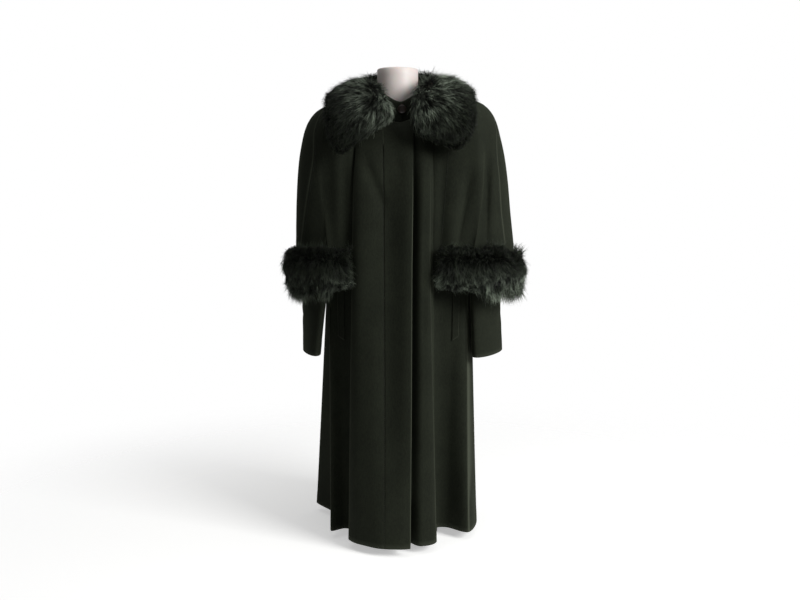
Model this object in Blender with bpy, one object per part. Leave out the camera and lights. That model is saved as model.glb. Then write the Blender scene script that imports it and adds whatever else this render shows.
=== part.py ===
"""Long loden coat with an elbow-length cape, fur bands and a fur collar, on a limbless dress form.

Metres, +Z up. The coat's front faces -Y, and the origin is at the centre of the stand's underside.
Names say the wearer's right and left: the wearer's right is at -X. Angles named "around" run round
the body in degrees: 0 is the centre front, -90 the wearer's right side, -180 the centre back.
"""

from collections import namedtuple

import bmesh
import bpy
import numpy as np

# Cloth and seams
LODEN_WALL = 0.0022
BAND_WALL = 0.0030
SEAM_GAP = 0.0003
SHOULDER_DEPTH = 0.0026

# Heights
HEM_Z = 0.022
UNDERARM_Z = 0.880
BODY_ROW_STEP = 0.107
CAPE_DROP_TOP = 1.050

# Shape of the rings: 2 is an ellipse, and a larger number is squarer
BODY_SQUARENESS = 2.4
CAPE_SQUARENESS = 2.8

# Points between two rows of a fold table
BODY_STEPS = 3
CAPE_STEPS = 3

# Body of the coat before its folds: how far the ring reaches each way at each height
Section = namedtuple("Section", "z right left front back")
BODY_SECTIONS = [
    Section(0.022, 0.190, 0.172, 0.160, 0.150),
    Section(0.550, 0.190, 0.176, 0.158, 0.140),
    Section(0.720, 0.190, 0.178, 0.155, 0.130),
    Section(0.880, 0.190, 0.190, 0.155, 0.135),
]

# Where each fold of the skirt stands at the hem, and the height from which it starts to fall.
# The table runs from the edge of the right front, round the right side and the back, to the
# hidden edge of the left front, which lies a little inside the right one ("inset").
Fold = namedtuple("Fold", "name around x y starts inset")
HEM_FOLDS = [
    Fold("right_front_edge", 5.6, 0.022, -0.192, 0.98, 0.0),
    Fold("centre_front", 0.0, -0.006, -0.196, 0.98, 0.0),
    Fold("right_panel", -16.0, -0.066, -0.184, 1.00, 0.0),
    Fold("right_pleat_edge", -31.0, -0.131, -0.124, 1.06, 0.0),
    Fold("right_pleat_back", -34.0, -0.106, -0.068, 1.06, 0.0),
    Fold("right_pocket_panel", -50.0, -0.144, -0.044, 0.98, 0.0),
    Fold("right_front_ridge", -68.0, -0.182, -0.060, 0.97, 0.0),
    Fold("right_side_seam", -90.0, -0.166, 0.050, 0.95, 0.0),
    Fold("right_back_ridge", -112.0, -0.238, 0.170, 0.93, 0.0),
    Fold("right_back_trough", -126.0, -0.168, 0.172, 0.93, 0.0),
    Fold("back_ridge_1", -142.0, -0.150, 0.240, 0.95, 0.0),
    Fold("back_trough_1", -157.0, -0.074, 0.186, 0.95, 0.0),
    Fold("back_ridge_2", -172.0, -0.030, 0.248, 0.95, 0.0),
    Fold("back_trough_2", -187.0, 0.028, 0.192, 0.95, 0.0),
    Fold("back_ridge_3", -202.0, 0.084, 0.244, 0.95, 0.0),
    Fold("left_back_trough", -220.0, 0.108, 0.172, 0.93, 0.0),
    Fold("left_back_ridge", -240.0, 0.184, 0.186, 0.93, 0.0),
    Fold("left_side_trough", -256.0, 0.158, 0.098, 0.93, 0.0),
    Fold("left_side_seam", -270.0, 0.207, 0.036, 0.95, 0.0),
    Fold("left_front_ridge", -292.0, 0.180, -0.072, 0.97, 0.0),
    Fold("left_pocket_panel", -320.0, 0.122, -0.008, 0.98, 0.0),
    Fold("left_pleat_back", -336.0, 0.090, -0.052, 1.06, 0.0),
    Fold("left_pleat_edge", -340.5, 0.092, -0.146, 1.06, 0.0),
    Fold("left_panel", -346.0, 0.056, -0.166, 1.00, 0.001),
    Fold("left_underlap", -354.4, 0.022, -0.186, 0.98, 0.005),
    Fold("left_centre", -360.0, -0.006, -0.192, 0.98, 0.005),
    Fold("left_front_edge", -369.0, -0.040, -0.191, 0.98, 0.005),
]

# Neckline of the coat, and the seam where each sleeve is set in ("turn" runs from the shoulder
# tip, 0, over the front, 90, to the underarm, 180, and up the back)
NECK_HALF_WIDTH, NECK_FRONT, NECK_BACK = 0.076, 0.100, 0.072
NeckPoint = namedtuple("NeckPoint", "around z")
NECKLINE = [
    NeckPoint(0.0, 1.076),
    NeckPoint(45.0, 1.100),
    NeckPoint(90.0, 1.134),
    NeckPoint(180.0, 1.146),
]
ArmholePoint = namedtuple("ArmholePoint", "turn x y z")
ARMHOLE = [
    ArmholePoint(0.0, 0.195, 0.005, 1.078),
    ArmholePoint(45.0, 0.178, -0.045, 1.035),
    ArmholePoint(90.0, 0.166, -0.072, 0.965),
    ArmholePoint(135.0, 0.174, -0.048, 0.910),
    ArmholePoint(180.0, 0.190, 0.000, 0.880),
    ArmholePoint(225.0, 0.178, 0.052, 0.912),
    ArmholePoint(270.0, 0.171, 0.072, 0.972),
    ArmholePoint(315.0, 0.180, 0.054, 1.035),
]

# Upper part of the body, between the neckline, the shoulder seams and the armholes: the angle from
# its centre line at which the neckline ends, and how fast the cloth runs outwards and down
NECK_ANGLE = {"front": 22.0, "back": 34.0}
UPPER_ROWS = 6
YOKE_OUT_POWER, YOKE_DOWN_POWER = 2.2, 1.4

# Sleeves hang flat, their front ends turned in towards the body ("turn", in degrees)
SleeveRing = namedtuple("SleeveRing", "z x y half_long half_short turn")
SLEEVE_RIGHT = [
    SleeveRing(0.820, -0.222, 0.000, 0.072, 0.022, 18.0),
    SleeveRing(0.660, -0.222, -0.024, 0.080, 0.020, 26.0),
    SleeveRing(0.490, -0.2315, -0.014, 0.075, 0.022, 9.0),
]
SLEEVE_LEFT = [
    SleeveRing(0.820, 0.227, 0.000, 0.072, 0.024, -20.0),
    SleeveRing(0.660, 0.228, -0.014, 0.085, 0.025, -27.0),
    SleeveRing(0.487, 0.2315, -0.014, 0.086, 0.026, -26.0),
]
SLEEVE_COLUMNS = 16
SLEEVE_CAP_ROWS = 5
SLEEVE_LOWER_ROWS = 4
ARMHOLE_OFFSET = 0.0030
SLEEVE_CAP_BEND = 0.72

# Cape before its folds, from the neck to the hem, the share by which its left shoulder stands higher,
# the folds of its hem with the distance by which each hangs lower ("drop"), its parts, and how its
# front edges are drawn into the pleats
CAPE_SECTIONS = [
    Section(1.148, 0.088, 0.088, 0.088, 0.094),
    Section(1.138, 0.140, 0.140, 0.102, 0.110),
    Section(1.126, 0.186, 0.186, 0.116, 0.124),
    Section(1.108, 0.218, 0.221, 0.132, 0.138),
    Section(1.070, 0.241, 0.245, 0.152, 0.156),
    Section(1.005, 0.255, 0.260, 0.170, 0.175),
    Section(0.930, 0.262, 0.268, 0.176, 0.187),
    Section(0.855, 0.266, 0.272, 0.176, 0.196),
    Section(0.775, 0.268, 0.287, 0.176, 0.203),
    Section(0.700, 0.270, 0.297, 0.176, 0.208),
]
CAPE_TILT = 0.036
CapeFold = namedtuple("CapeFold", "name around x y starts drop")
CAPE_FOLDS = [
    CapeFold("right_edge", -33.0, -0.116, -0.120, 1.06, 0.000),
    CapeFold("right_trough", -44.0, -0.146, -0.126, 1.06, 0.000),
    CapeFold("right_ridge", -56.0, -0.180, -0.136, 1.06, 0.008),
    CapeFold("right_side_trough", -73.0, -0.238, -0.086, 1.04, 0.026),
    CapeFold("right_side_seam", -90.0, -0.270, -0.010, 1.04, 0.032),
    CapeFold("right_back_ridge", -112.0, -0.266, 0.090, 1.04, 0.034),
    CapeFold("right_back_fall", -130.0, -0.204, 0.162, 1.02, 0.032),
    CapeFold("back_trough_1", -146.0, -0.136, 0.182, 1.02, 0.030),
    CapeFold("back_ridge_1", -160.0, -0.076, 0.222, 1.02, 0.030),
    CapeFold("back_trough_2", -176.0, -0.006, 0.200, 1.02, 0.030),
    CapeFold("back_ridge_2", -192.0, 0.066, 0.224, 1.02, 0.030),
    CapeFold("back_trough_3", -208.0, 0.134, 0.186, 1.02, 0.030),
    CapeFold("left_back_fall", -226.0, 0.216, 0.168, 1.02, 0.032),
    CapeFold("left_back_ridge", -248.0, 0.287, 0.090, 1.04, 0.036),
    CapeFold("left_side_seam", -270.0, 0.298, -0.010, 1.04, 0.036),
    CapeFold("left_side_ridge", -286.0, 0.262, -0.088, 1.04, 0.028),
    CapeFold("left_ridge", -296.0, 0.206, -0.134, 1.06, 0.016),
    CapeFold("left_trough", -307.0, 0.162, -0.116, 1.06, 0.008),
    CapeFold("left_front_ridge", -321.0, 0.120, -0.146, 1.06, 0.000),
    CapeFold("left_edge", -337.0, 0.078, -0.124, 1.06, 0.000),
]
CapePart = namedtuple("CapePart", "cloth fur start end")
CAPE_PARTS = [
    CapePart("cape_front_right", "fur_band_right", "right_edge", "right_side_seam"),
    CapePart("cape_back", "fur_band_back", "right_side_seam", "left_side_seam"),
    CapePart("cape_front_left", "fur_band_left", "left_side_seam", "left_edge"),
]
# How many rows of the fold table each side seam of the cape lies forward of its own row, by height,
# and how many rows on either side give way for it
CapeSeam = namedtuple("CapeSeam", "z right left")
CAPE_SEAMS = [
    CapeSeam(0.700, 0.1, 0.6),
    CapeSeam(0.800, 0.7, 1.0),
    CapeSeam(0.930, 1.4, 1.5),
    CapeSeam(1.005, 1.8, 1.8),
    CapeSeam(1.070, 1.8, 1.4),
    CapeSeam(1.148, 1.6, 0.8),
]
CAPE_SEAM_REACH = 3.4
CAPE_EDGE_TOP, CAPE_EDGE_FADE = 1.100, 0.060
CAPE_EDGE_REACH = 1.3
CAPE_EDGE_CLEARANCE = 0.010

# Fur bands along the cape's hem: the fur's depth, how far it stands above and below the hem, and how
# much of the hem's drop at the sides its top edge makes up for
FUR_DEPTH = 0.036
FUR_RISE, FUR_FALL = 0.072, 0.036
FUR_LIFT_SHARE = 0.50
FUR_SMOOTHING = 5
FUR_END_ROWS = 0.62
FUR_END_SHARE = 0.72
FUR_POINTS = 10
FUR_GAP = 0.0020

# Fur collar, a row for each section from the rounded front lobe to the centre back, given for the
# right half. The left half has a squarer lobe. "over" and "under" are the fur's thickness above and
# below the line from the neck to the edge, "heading" the way that line points round the body, and
# "droop" how steeply it falls.
CollarSection = namedtuple("CollarSection", "name x y z half_across over under heading droop")
COLLAR_LOBE_RIGHT = [
    CollarSection("lobe_end", -0.130, -0.168, 1.006, 0.014, 0.010, 0.004, -90.0, 20.0),
    CollarSection("lobe_low", -0.113, -0.172, 1.030, 0.056, 0.030, 0.006, -90.0, 16.0),
    CollarSection("lobe_mid", -0.094, -0.170, 1.066, 0.084, 0.038, 0.008, -90.0, 9.0),
]
COLLAR_LOBE_LEFT = [
    CollarSection("lobe_end", -0.118, -0.168, 1.006, 0.022, 0.010, 0.004, -90.0, 16.0),
    CollarSection("lobe_low", -0.103, -0.172, 1.028, 0.064, 0.030, 0.006, -90.0, 8.0),
    CollarSection("lobe_mid", -0.105, -0.170, 1.066, 0.080, 0.038, 0.008, -90.0, 9.0),
]
COLLAR_ROUND = [
    CollarSection("lobe_top", -0.106, -0.150, 1.110, 0.084, 0.044, 0.010, -88.0, 11.0),
    CollarSection("shoulder", -0.115, -0.085, 1.150, 0.072, 0.038, 0.012, -84.0, 15.0),
    CollarSection("side", -0.126, 0.000, 1.160, 0.064, 0.034, 0.012, -90.0, 17.0),
    CollarSection("behind", -0.112, 0.094, 1.164, 0.078, 0.034, 0.010, -130.0, 36.0),
    CollarSection("centre_back", 0.000, 0.140, 1.140, 0.086, 0.036, 0.010, -180.0, 54.0),
]
COLLAR_STEPS = 2
COLLAR_POINTS = 14

# Stand of the collar, with its button
BAND_HALF_WIDTH, BAND_FRONT, BAND_BACK = 0.066, 0.094, 0.070
BAND_HEIGHT_FRONT, BAND_HEIGHT_BACK = 0.046, 0.026
BAND_LEAN = 0.006
BAND_RISE = 0.004
BAND_COLUMNS = 28
BAND_ENDS = (5.4, 362.6)
BUTTON_RADIUS, BUTTON_DEPTH = 0.0105, 0.0045
BUTTON_X, BUTTON_DROP, BUTTON_SHANK = 0.005, 0.019, 0.0016
BUTTON_SIDES = 24
ButtonEdge = namedtuple("ButtonEdge", "reach lift")
BUTTON_PROFILE = [
    ButtonEdge(0.86, 0.00),
    ButtonEdge(1.00, 0.25),
    ButtonEdge(1.00, 0.62),
    ButtonEdge(0.88, 1.00),
    ButtonEdge(0.62, 0.86),
]

# Pocket welts: their size, and the row of the fold table on which each is centred, with its shift and
# half its width in rows
WELT_LENGTH, WELT_DEPTH, WELT_BOTTOM_Z = 0.160, 0.0028, 0.530
WELT_SLANT = 0.010
WELT_LIFT = 0.0020
WELT_COLUMNS, WELT_ROWS = 4, 8
Welt = namedtuple("Welt", "row shift half_rows")
WELTS = {"right": Welt("right_pocket_panel", 0.0, 0.22), "left": Welt("left_pocket_panel", -0.34, 0.14)}

# Dress form: smooth rings from the neck's flat top to the rounded seat, a pole and a round base
FormRing = namedtuple("FormRing", "z half_x half_y")
FORM_RINGS = [
    FormRing(1.214, 0.0510, 0.0540),
    FormRing(1.211, 0.0525, 0.0555),
    FormRing(1.160, 0.0520, 0.0550),
    FormRing(1.128, 0.0540, 0.0540),
    FormRing(1.108, 0.0700, 0.0500),
    FormRing(1.092, 0.1100, 0.0480),
    FormRing(1.070, 0.1440, 0.0520),
    FormRing(1.040, 0.1560, 0.0620),
    FormRing(0.960, 0.1500, 0.0880),
    FormRing(0.880, 0.1500, 0.1060),
    FormRing(0.800, 0.1400, 0.1000),
    FormRing(0.700, 0.1200, 0.0860),
    FormRing(0.610, 0.1320, 0.0880),
    FormRing(0.550, 0.1300, 0.0860),
    FormRing(0.515, 0.1080, 0.0720),
    FormRing(0.505, 0.0800, 0.0560),
]
FORM_COLUMNS = 24
POLE_RADIUS = 0.0125
BASE_RADIUS, BASE_HEIGHT, BASE_BEVEL = 0.100, 0.012, 0.004

SMOOTH_ANGLE = np.radians(50.0)
NORMAL_STEP = 0.05

LODEN_GREEN = (0.014, 0.016, 0.012)
FUR_GREEN = (0.012, 0.015, 0.012)
BUTTON_BROWN = (0.012, 0.008, 0.006)
FORM_WHITE = (0.55, 0.50, 0.47)
STAND_GREY = (0.35, 0.35, 0.36)


def smooth_step(value):
    """0 below 0, 1 above 1, and a soft rise between."""
    value = np.clip(value, 0.0, 1.0)
    return value * value * (3.0 - 2.0 * value)


def curve_through(values, at):
    """A soft curve through the values of evenly numbered rows, read at row numbers "at"."""
    values = np.asarray(values, float)
    at = np.asarray(at, float)
    slopes = np.gradient(values, axis=0)
    low = np.clip(np.floor(at).astype(int), 0, len(values) - 2)
    share = (at - low).reshape(at.shape + (1,) * (values.ndim - 1))
    square, cube = share**2, share**3
    return (
        (2 * cube - 3 * square + 1) * values[low]
        + (cube - 2 * square + share) * slopes[low]
        + (3 * square - 2 * cube) * values[low + 1]
        + (cube - square) * slopes[low + 1]
    )


def column(rows, name):
    return np.array([getattr(row, name) for row in rows], float)


def row_number(rows, name):
    return [row.name for row in rows].index(name)


def between_rows(table, name, rows):
    """A column of a table read at row numbers, which may lie between two rows."""
    return np.interp(rows, np.arange(len(table)), column(table, name))


def section_reach(sections, name, z):
    """How far a section reaches at height z, from a table whose heights rise or fall."""
    ordered = sorted(sections, key=lambda row: row.z)
    return np.interp(z, column(ordered, "z"), column(ordered, name))


def ring_point(sections, squareness, around, z):
    """Points (x, y) of the smooth ring at height z, at the angle around."""
    angle = np.radians(around)
    power = 2.0 / squareness
    across = np.sign(np.sin(angle)) * np.abs(np.sin(angle)) ** power
    forward = np.sign(np.cos(angle)) * np.abs(np.cos(angle)) ** power
    right, left = section_reach(sections, "right", z), section_reach(sections, "left", z)
    front, back = section_reach(sections, "front", z), section_reach(sections, "back", z)
    x = across * np.where(across < 0, right, left)
    y = -forward * np.where(forward > 0, front, back)
    return x, y


def body_points(rows, z):
    """Outer points of the coat's body at row numbers of the fold table and heights z."""
    around = between_rows(HEM_FOLDS, "around", rows)
    starts = between_rows(HEM_FOLDS, "starts", rows)
    x, y = ring_point(BODY_SECTIONS, BODY_SQUARENESS, around, z)
    hem = curve_through([(row.x, row.y) for row in HEM_FOLDS], rows)
    fall = np.clip((starts - z) / (starts - HEM_Z), 0.0, 1.0)
    x = x + (hem[..., 0] - x) * fall
    y = y + (hem[..., 1] - y) * fall
    return np.stack([x, y, np.broadcast_to(z, x.shape)], axis=-1)


def cape_points(rows, z):
    """Outer points of the cape at row numbers of its fold table and section heights z."""
    starts = between_rows(CAPE_FOLDS, "starts", rows)
    drop = between_rows(CAPE_FOLDS, "drop", rows)
    hem_z = CAPE_SECTIONS[-1].z
    x, y = ring_point(CAPE_SECTIONS, CAPE_SQUARENESS, between_rows(CAPE_FOLDS, "around", rows), z)
    hem = curve_through([(row.x, row.y) for row in CAPE_FOLDS], rows)
    fall = np.maximum((starts - z) / (starts - hem_z), 0.0)
    x = x + (hem[..., 0] - x) * fall
    y = y + (hem[..., 1] - y) * fall
    lowered = z - drop * np.maximum((CAPE_DROP_TOP - z) / (CAPE_DROP_TOP - hem_z), 0.0)
    lowered = lowered + CAPE_TILT * x * np.clip((z - hem_z) / (CAPE_DROP_TOP - hem_z), 0.0, 1.0)
    return settle_cape_edges(np.stack([x, y, lowered], axis=-1), rows)


def settle_cape_edges(points, rows):
    """Draws the cape's two front edges into the pleats of the coat, where they are sewn in."""
    for pleat, edge_row in (("right_pleat_back", 0), ("left_pleat_back", len(CAPE_FOLDS) - 1)):
        line = pleat_line(pleat)
        z = points[..., 2]
        anchor = np.stack([np.interp(z, line[:, 2], line[:, axis]) for axis in (0, 1)], axis=-1)
        anchor *= 1.0 + CAPE_EDGE_CLEARANCE / np.linalg.norm(anchor, axis=-1, keepdims=True)
        near = smooth_step(1.0 - np.abs(rows - edge_row) / CAPE_EDGE_REACH)
        low = smooth_step((CAPE_EDGE_TOP - z) / CAPE_EDGE_FADE)
        moved = points[..., :2] + (anchor - points[..., :2]) * (near * low)[..., None]
        points = np.concatenate([moved, points[..., 2:]], axis=-1)
    return points


def pleat_line(name):
    """Points down the back of a front pleat, from the hem up."""
    row = np.array([float(row_number(HEM_FOLDS, name))])
    upper = upper_points(row, "front")[:, 0]
    heights = lower_heights()[1:]
    lower = body_points(np.full(heights.shape, row[0]), heights)
    return np.concatenate([upper, lower])[::-1]


def normals_of(grid, wrapped=False):
    """Unit normals of a grid of points; a wrapped grid repeats its first column at its end."""
    if wrapped:
        grid = np.concatenate([grid[:, -2:-1], grid, grid[:, 1:2]], axis=1)
    across, down = np.gradient(grid, axis=1), np.gradient(grid, axis=0)
    normal = np.cross(across, down)
    normal /= np.linalg.norm(normal, axis=-1, keepdims=True)
    return normal[:, 1:-1] if wrapped else normal


def outward(normals, grid, centre):
    """The normals turned so that most of them point away from the centre line."""
    away = grid[..., :2] - np.asarray(centre)[:2]
    score = (normals[..., :2] * away).sum()
    return normals if score > 0 else -normals


def drawn_in(grid, edge, distance):
    """The grid with one edge drawn in by a distance, so that two pieces stand apart at a seam."""
    grid = grid.copy()
    picks = {"first": (0, 1), "last": (-1, -2)}
    side, which = edge.split("_")
    at, beside = picks[which]
    if side == "column":
        step = grid[:, beside] - grid[:, at]
        grid[:, at] += distance * step / np.linalg.norm(step, axis=-1, keepdims=True)
    else:
        step = grid[beside] - grid[at]
        grid[at] += distance * step / np.linalg.norm(step, axis=-1, keepdims=True)
    return grid


def finish_solid(name, points, faces, colour, roughness=0.9, metallic=0.0):
    """Makes one closed, smooth-shaded object from points and faces, with its own material."""
    mesh = bpy.data.meshes.new(name)
    mesh.from_pydata([tuple(point) for point in points], [], faces)
    shape = bmesh.new()
    shape.from_mesh(mesh)
    bmesh.ops.recalc_face_normals(shape, faces=shape.faces)
    if shape.calc_volume(signed=True) < 0:
        bmesh.ops.reverse_faces(shape, faces=shape.faces)
    shape.to_mesh(mesh)
    shape.free()
    mesh.shade_smooth()
    mesh.set_sharp_from_angle(angle=SMOOTH_ANGLE)
    solid = bpy.data.objects.new(name, mesh)
    bpy.context.scene.collection.objects.link(solid)
    give_material(solid, colour, roughness, metallic)
    return solid


def give_material(solid, colour, roughness, metallic):
    material = bpy.data.materials.new(solid.name)
    material.use_nodes = True
    shader = material.node_tree.nodes["Principled BSDF"]
    shader.inputs["Base Color"].default_value = (*colour, 1.0)
    shader.inputs["Roughness"].default_value = roughness
    shader.inputs["Metallic"].default_value = metallic
    solid.data.materials.append(material)


def cloth_wall(name, outer, inner, colour=LODEN_GREEN, wrapped=False):
    """A closed wall between two grids of points: a panel, or a tube where it is wrapped."""
    rows, columns = outer.shape[:2]
    if wrapped:
        outer, inner = outer[:, :-1], inner[:, :-1]
        columns -= 1
    points = np.concatenate([outer.reshape(-1, 3), inner.reshape(-1, 3)])
    shift = rows * columns

    def at(row, col):
        return row * columns + col % columns

    faces = []
    spans = columns if wrapped else columns - 1
    for row in range(rows - 1):
        for col in range(spans):
            quad = [at(row, col), at(row, col + 1), at(row + 1, col + 1), at(row + 1, col)]
            faces.append(quad)
            faces.append([shift + corner for corner in reversed(quad)])
    for col in range(spans):
        for row in (0, rows - 1):
            first, second = at(row, col), at(row, col + 1)
            faces.append([first, shift + first, shift + second, second])
    if not wrapped:
        for row in range(rows - 1):
            for col in (0, columns - 1):
                first, second = at(row, col), at(row + 1, col)
                faces.append([first, second, shift + second, shift + first])
    return finish_solid(name, points, faces, colour)


def loft_solid(name, rings, colour, roughness=0.9, metallic=0.0):
    """A closed solid through rings of points, with flat ends."""
    rings = np.asarray(rings)
    count, columns = rings.shape[:2]
    faces = [list(range(columns)), list(range((count - 1) * columns, count * columns))]
    for row in range(count - 1):
        for col in range(columns):
            after = (col + 1) % columns
            faces.append([row * columns + col, row * columns + after,
                          (row + 1) * columns + after, (row + 1) * columns + col])
    return finish_solid(name, rings.reshape(-1, 3), faces, colour, roughness, metallic)


def neckline_points(around):
    """Points of the coat's neckline at angles around."""
    angle = np.radians(around)
    from_front = np.abs((np.asarray(around) + 180.0) % 360.0 - 180.0)
    depth = np.where(np.cos(angle) > 0, NECK_FRONT, NECK_BACK)
    z = np.interp(from_front, column(NECKLINE, "around"), column(NECKLINE, "z"))
    return np.stack([NECK_HALF_WIDTH * np.sin(angle), -depth * np.cos(angle), z], axis=-1)


def armhole_points(turn, side):
    """Points of the armhole seam at "turn"; side is -1 on the wearer's right, 1 on the left."""
    loop = ARMHOLE[-2:] + ARMHOLE + ARMHOLE[:3]
    rows = np.mod(turn, 360.0) / (ARMHOLE[1].turn - ARMHOLE[0].turn) + 2.0
    points = curve_through([(row.x, row.y, row.z) for row in loop], rows)
    return points * np.array([side, 1.0, 1.0])


def yoke_angles(rows, yoke):
    """Angles from the yoke's own centre line, 0 at the centre and 90 at the side, with a sign."""
    around = between_rows(HEM_FOLDS, "around", rows)
    signed = (around + 180.0) % 360.0 - 180.0
    angle = np.abs(signed) if yoke == "front" else 180.0 - np.abs(signed)
    return angle, np.where(signed > 0, 1.0, -1.0)


def yoke_top(angle, side, yoke):
    """Top edge of the yoke: the neckline near its centre, then the shoulder seam."""
    neck_angle = NECK_ANGLE[yoke]
    along_neck = np.minimum(angle / neck_angle, 1.0) * 90.0
    around = side * (along_neck if yoke == "front" else 180.0 - along_neck)
    neck = neckline_points(around)
    tip = np.array([armhole_points(np.array([0.0]), each)[0] for each in side])
    share = np.clip((angle - neck_angle) / (90.0 - neck_angle), 0.0, 1.0)[:, None]
    return neck + (tip - neck) * share


def upper_points(rows, yoke):
    """Outer points above the underarm at row numbers of the fold table, from the top edge down.

    Each line of points first runs outwards and then down, as cloth does over a chest.
    """
    share = np.linspace(0.0, 1.0, UPPER_ROWS)
    out = 1.0 - (1.0 - share) ** YOKE_OUT_POWER
    blend = np.column_stack([out, out, share**YOKE_DOWN_POWER])
    angle, side = yoke_angles(rows, yoke)
    top = yoke_top(angle, side, yoke)
    bottom = body_points(rows, np.full(rows.shape, UNDERARM_Z))
    patch = (1 - blend[:, None]) * top + blend[:, None] * bottom
    turns = 180.0 * share if yoke == "front" else 360.0 - 180.0 * share
    seam = armhole_points(turns, 1.0)
    bulge = seam - (1 - blend) * seam[0] - blend * seam[-1]
    sides = np.column_stack([side, np.ones(len(side)), np.ones(len(side))])
    from_centre = (angle / 90.0)[:, None]
    return patch + bulge[:, None] * sides * from_centre**2


def body_rows(start, end):
    """Row numbers of the fold table from one named fold to another, with steps between."""
    first, last = row_number(HEM_FOLDS, start), row_number(HEM_FOLDS, end)
    return np.linspace(first, last, (last - first) * BODY_STEPS + 1)


def lower_heights():
    count = round((UNDERARM_Z - HEM_Z) / BODY_ROW_STEP)
    return np.linspace(UNDERARM_Z, HEM_Z, count + 1)


def body_panel(name, start, end, yoke):
    """A panel of the body, from its neckline and shoulder down to the hem."""
    rows = body_rows(start, end)
    upper = upper_points(rows, yoke)
    heights = lower_heights()
    skirt = body_points(*np.meshgrid(rows, heights))
    grid = np.concatenate([upper[:-1], skirt])
    normal = outward(normals_of(grid), grid, (0.0, 0.0))
    normal[len(upper) - 1:] = skirt_normals(rows, heights)
    outer = grid - normal * between_rows(HEM_FOLDS, "inset", rows)[None, :, None]
    inner = outer - normal * LODEN_WALL
    inner[0] = outer[0] - np.array([0.0, 0.0, SHOULDER_DEPTH])
    edges = ["row_first"]
    if start.endswith("side_seam"):
        edges.append("column_first")
    if end.endswith("side_seam"):
        edges.append("column_last")
    for edge in edges:
        outer, inner = drawn_in(outer, edge, SEAM_GAP / 2), drawn_in(inner, edge, SEAM_GAP / 2)
    cloth_wall(name, outer, inner)


def skirt_normals(rows, heights):
    """Outward normals of the skirt at its own points, the same on both sides of a seam."""
    grid = body_points(*np.meshgrid(rows, heights))
    last = len(HEM_FOLDS) - 1
    before = body_points(*np.meshgrid(np.maximum(rows - NORMAL_STEP, 0), heights))
    after = body_points(*np.meshgrid(np.minimum(rows + NORMAL_STEP, last), heights))
    normal = np.cross(after - before, np.gradient(grid, axis=0))
    normal /= np.linalg.norm(normal, axis=-1, keepdims=True)
    return outward(normal, grid, (0.0, 0.0))


def make_body():
    """Right front, left front, which runs on under the right one, and the back."""
    body_panel("front_right", "right_front_edge", "right_side_seam", "front")
    body_panel("front_left", "left_side_seam", "left_front_edge", "front")
    body_panel("back", "right_side_seam", "left_side_seam", "back")


def armhole_edge(turns, side):
    """Points of the finished armhole, on the edges of the front and the back."""
    name = "right_side_seam" if side < 0 else "left_side_seam"
    row = np.array([float(row_number(HEM_FOLDS, name))])
    front, back = upper_points(row, "front")[:, 0], upper_points(row, "back")[:, 0]
    loop = np.concatenate([front, back[-2::-1]])
    known = np.linspace(0.0, 360.0, len(loop))
    return np.stack([np.interp(turns, known, loop[:, axis]) for axis in range(3)], axis=-1)


def sleeve_ring(ring, turns, side):
    """A flat oval ring of a sleeve, from its outer side over its front and back again."""
    turn = np.radians(ring.turn)
    front = np.array([np.sin(turn), -np.cos(turn)])
    out = np.array([side * np.cos(turn), side * np.sin(turn)])
    angle = np.radians(turns)[:, None]
    flat = np.array([ring.x, ring.y]) + np.cos(angle) * ring.half_short * out
    flat = flat + np.sin(angle) * ring.half_long * front
    return np.column_stack([flat, np.full(len(turns), ring.z)])


def make_sleeve(side_name, side, table):
    """A set-in sleeve: from the armhole over the shoulder, then straight down to the cuff."""
    turns = np.linspace(0.0, 360.0, SLEEVE_COLUMNS + 1)
    armhole = armhole_edge(turns, side)
    armhole[:, 0] += side * ARMHOLE_OFFSET
    biceps = sleeve_ring(table[0], turns, side)
    bend = biceps.copy()
    bend[:, 2] += SLEEVE_CAP_BEND * (armhole[:, 2] - biceps[:, 2])
    rings = []
    for share in np.linspace(0.0, 1.0, SLEEVE_CAP_ROWS):
        rings.append((1 - share) ** 2 * armhole + 2 * share * (1 - share) * bend + share**2 * biceps)
    for number in np.linspace(0.0, len(table) - 1, SLEEVE_LOWER_ROWS + 1)[1:]:
        values = [between_rows(table, name, number) for name in SleeveRing._fields]
        rings.append(sleeve_ring(SleeveRing(*values), turns, side))
    outer = np.array(rings)
    normal = normals_of(outer, wrapped=True)
    normal = outward(normal, outer, (table[1].x, table[1].y))
    cloth_wall(f"sleeve_{side_name}", outer, outer - normal * LODEN_WALL, wrapped=True)


def cape_rows(start, end):
    first, last = row_number(CAPE_FOLDS, start), row_number(CAPE_FOLDS, end)
    return np.linspace(first, last, (last - first) * CAPE_STEPS + 1)


def seam_rows(rows, z):
    """The row numbers moved so that the columns at the side seams follow those seams."""
    moved = rows
    for name, side, forward in (("right_side_seam", "right", -1.0), ("left_side_seam", "left", 1.0)):
        shift = forward * section_reach(CAPE_SEAMS, side, z)
        near = np.clip(1.0 - np.abs(rows - row_number(CAPE_FOLDS, name)) / CAPE_SEAM_REACH, 0.0, 1.0)
        moved = moved + shift * near
    return moved


def make_cape():
    """Two cape fronts and the cape's back, joined along the shoulders and the arms."""
    heights = column(CAPE_SECTIONS, "z")
    whole = cape_rows("right_edge", "left_edge")
    rows, z = np.meshgrid(whole, heights)
    outer = cape_points(seam_rows(rows, z), z)
    inner = outer - outward(normals_of(outer), outer, (0.0, 0.0)) * LODEN_WALL
    for part in CAPE_PARTS:
        first = row_number(CAPE_FOLDS, part.start) * CAPE_STEPS
        last = row_number(CAPE_FOLDS, part.end) * CAPE_STEPS
        grids = []
        for grid in (outer, inner):
            grid = grid[:, first:last + 1]
            if first > 0:
                grid = drawn_in(grid, "column_first", SEAM_GAP / 2)
            if last < len(whole) - 1:
                grid = drawn_in(grid, "column_last", SEAM_GAP / 2)
            grids.append(grid)
        cloth_wall(part.cloth, *grids)


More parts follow.
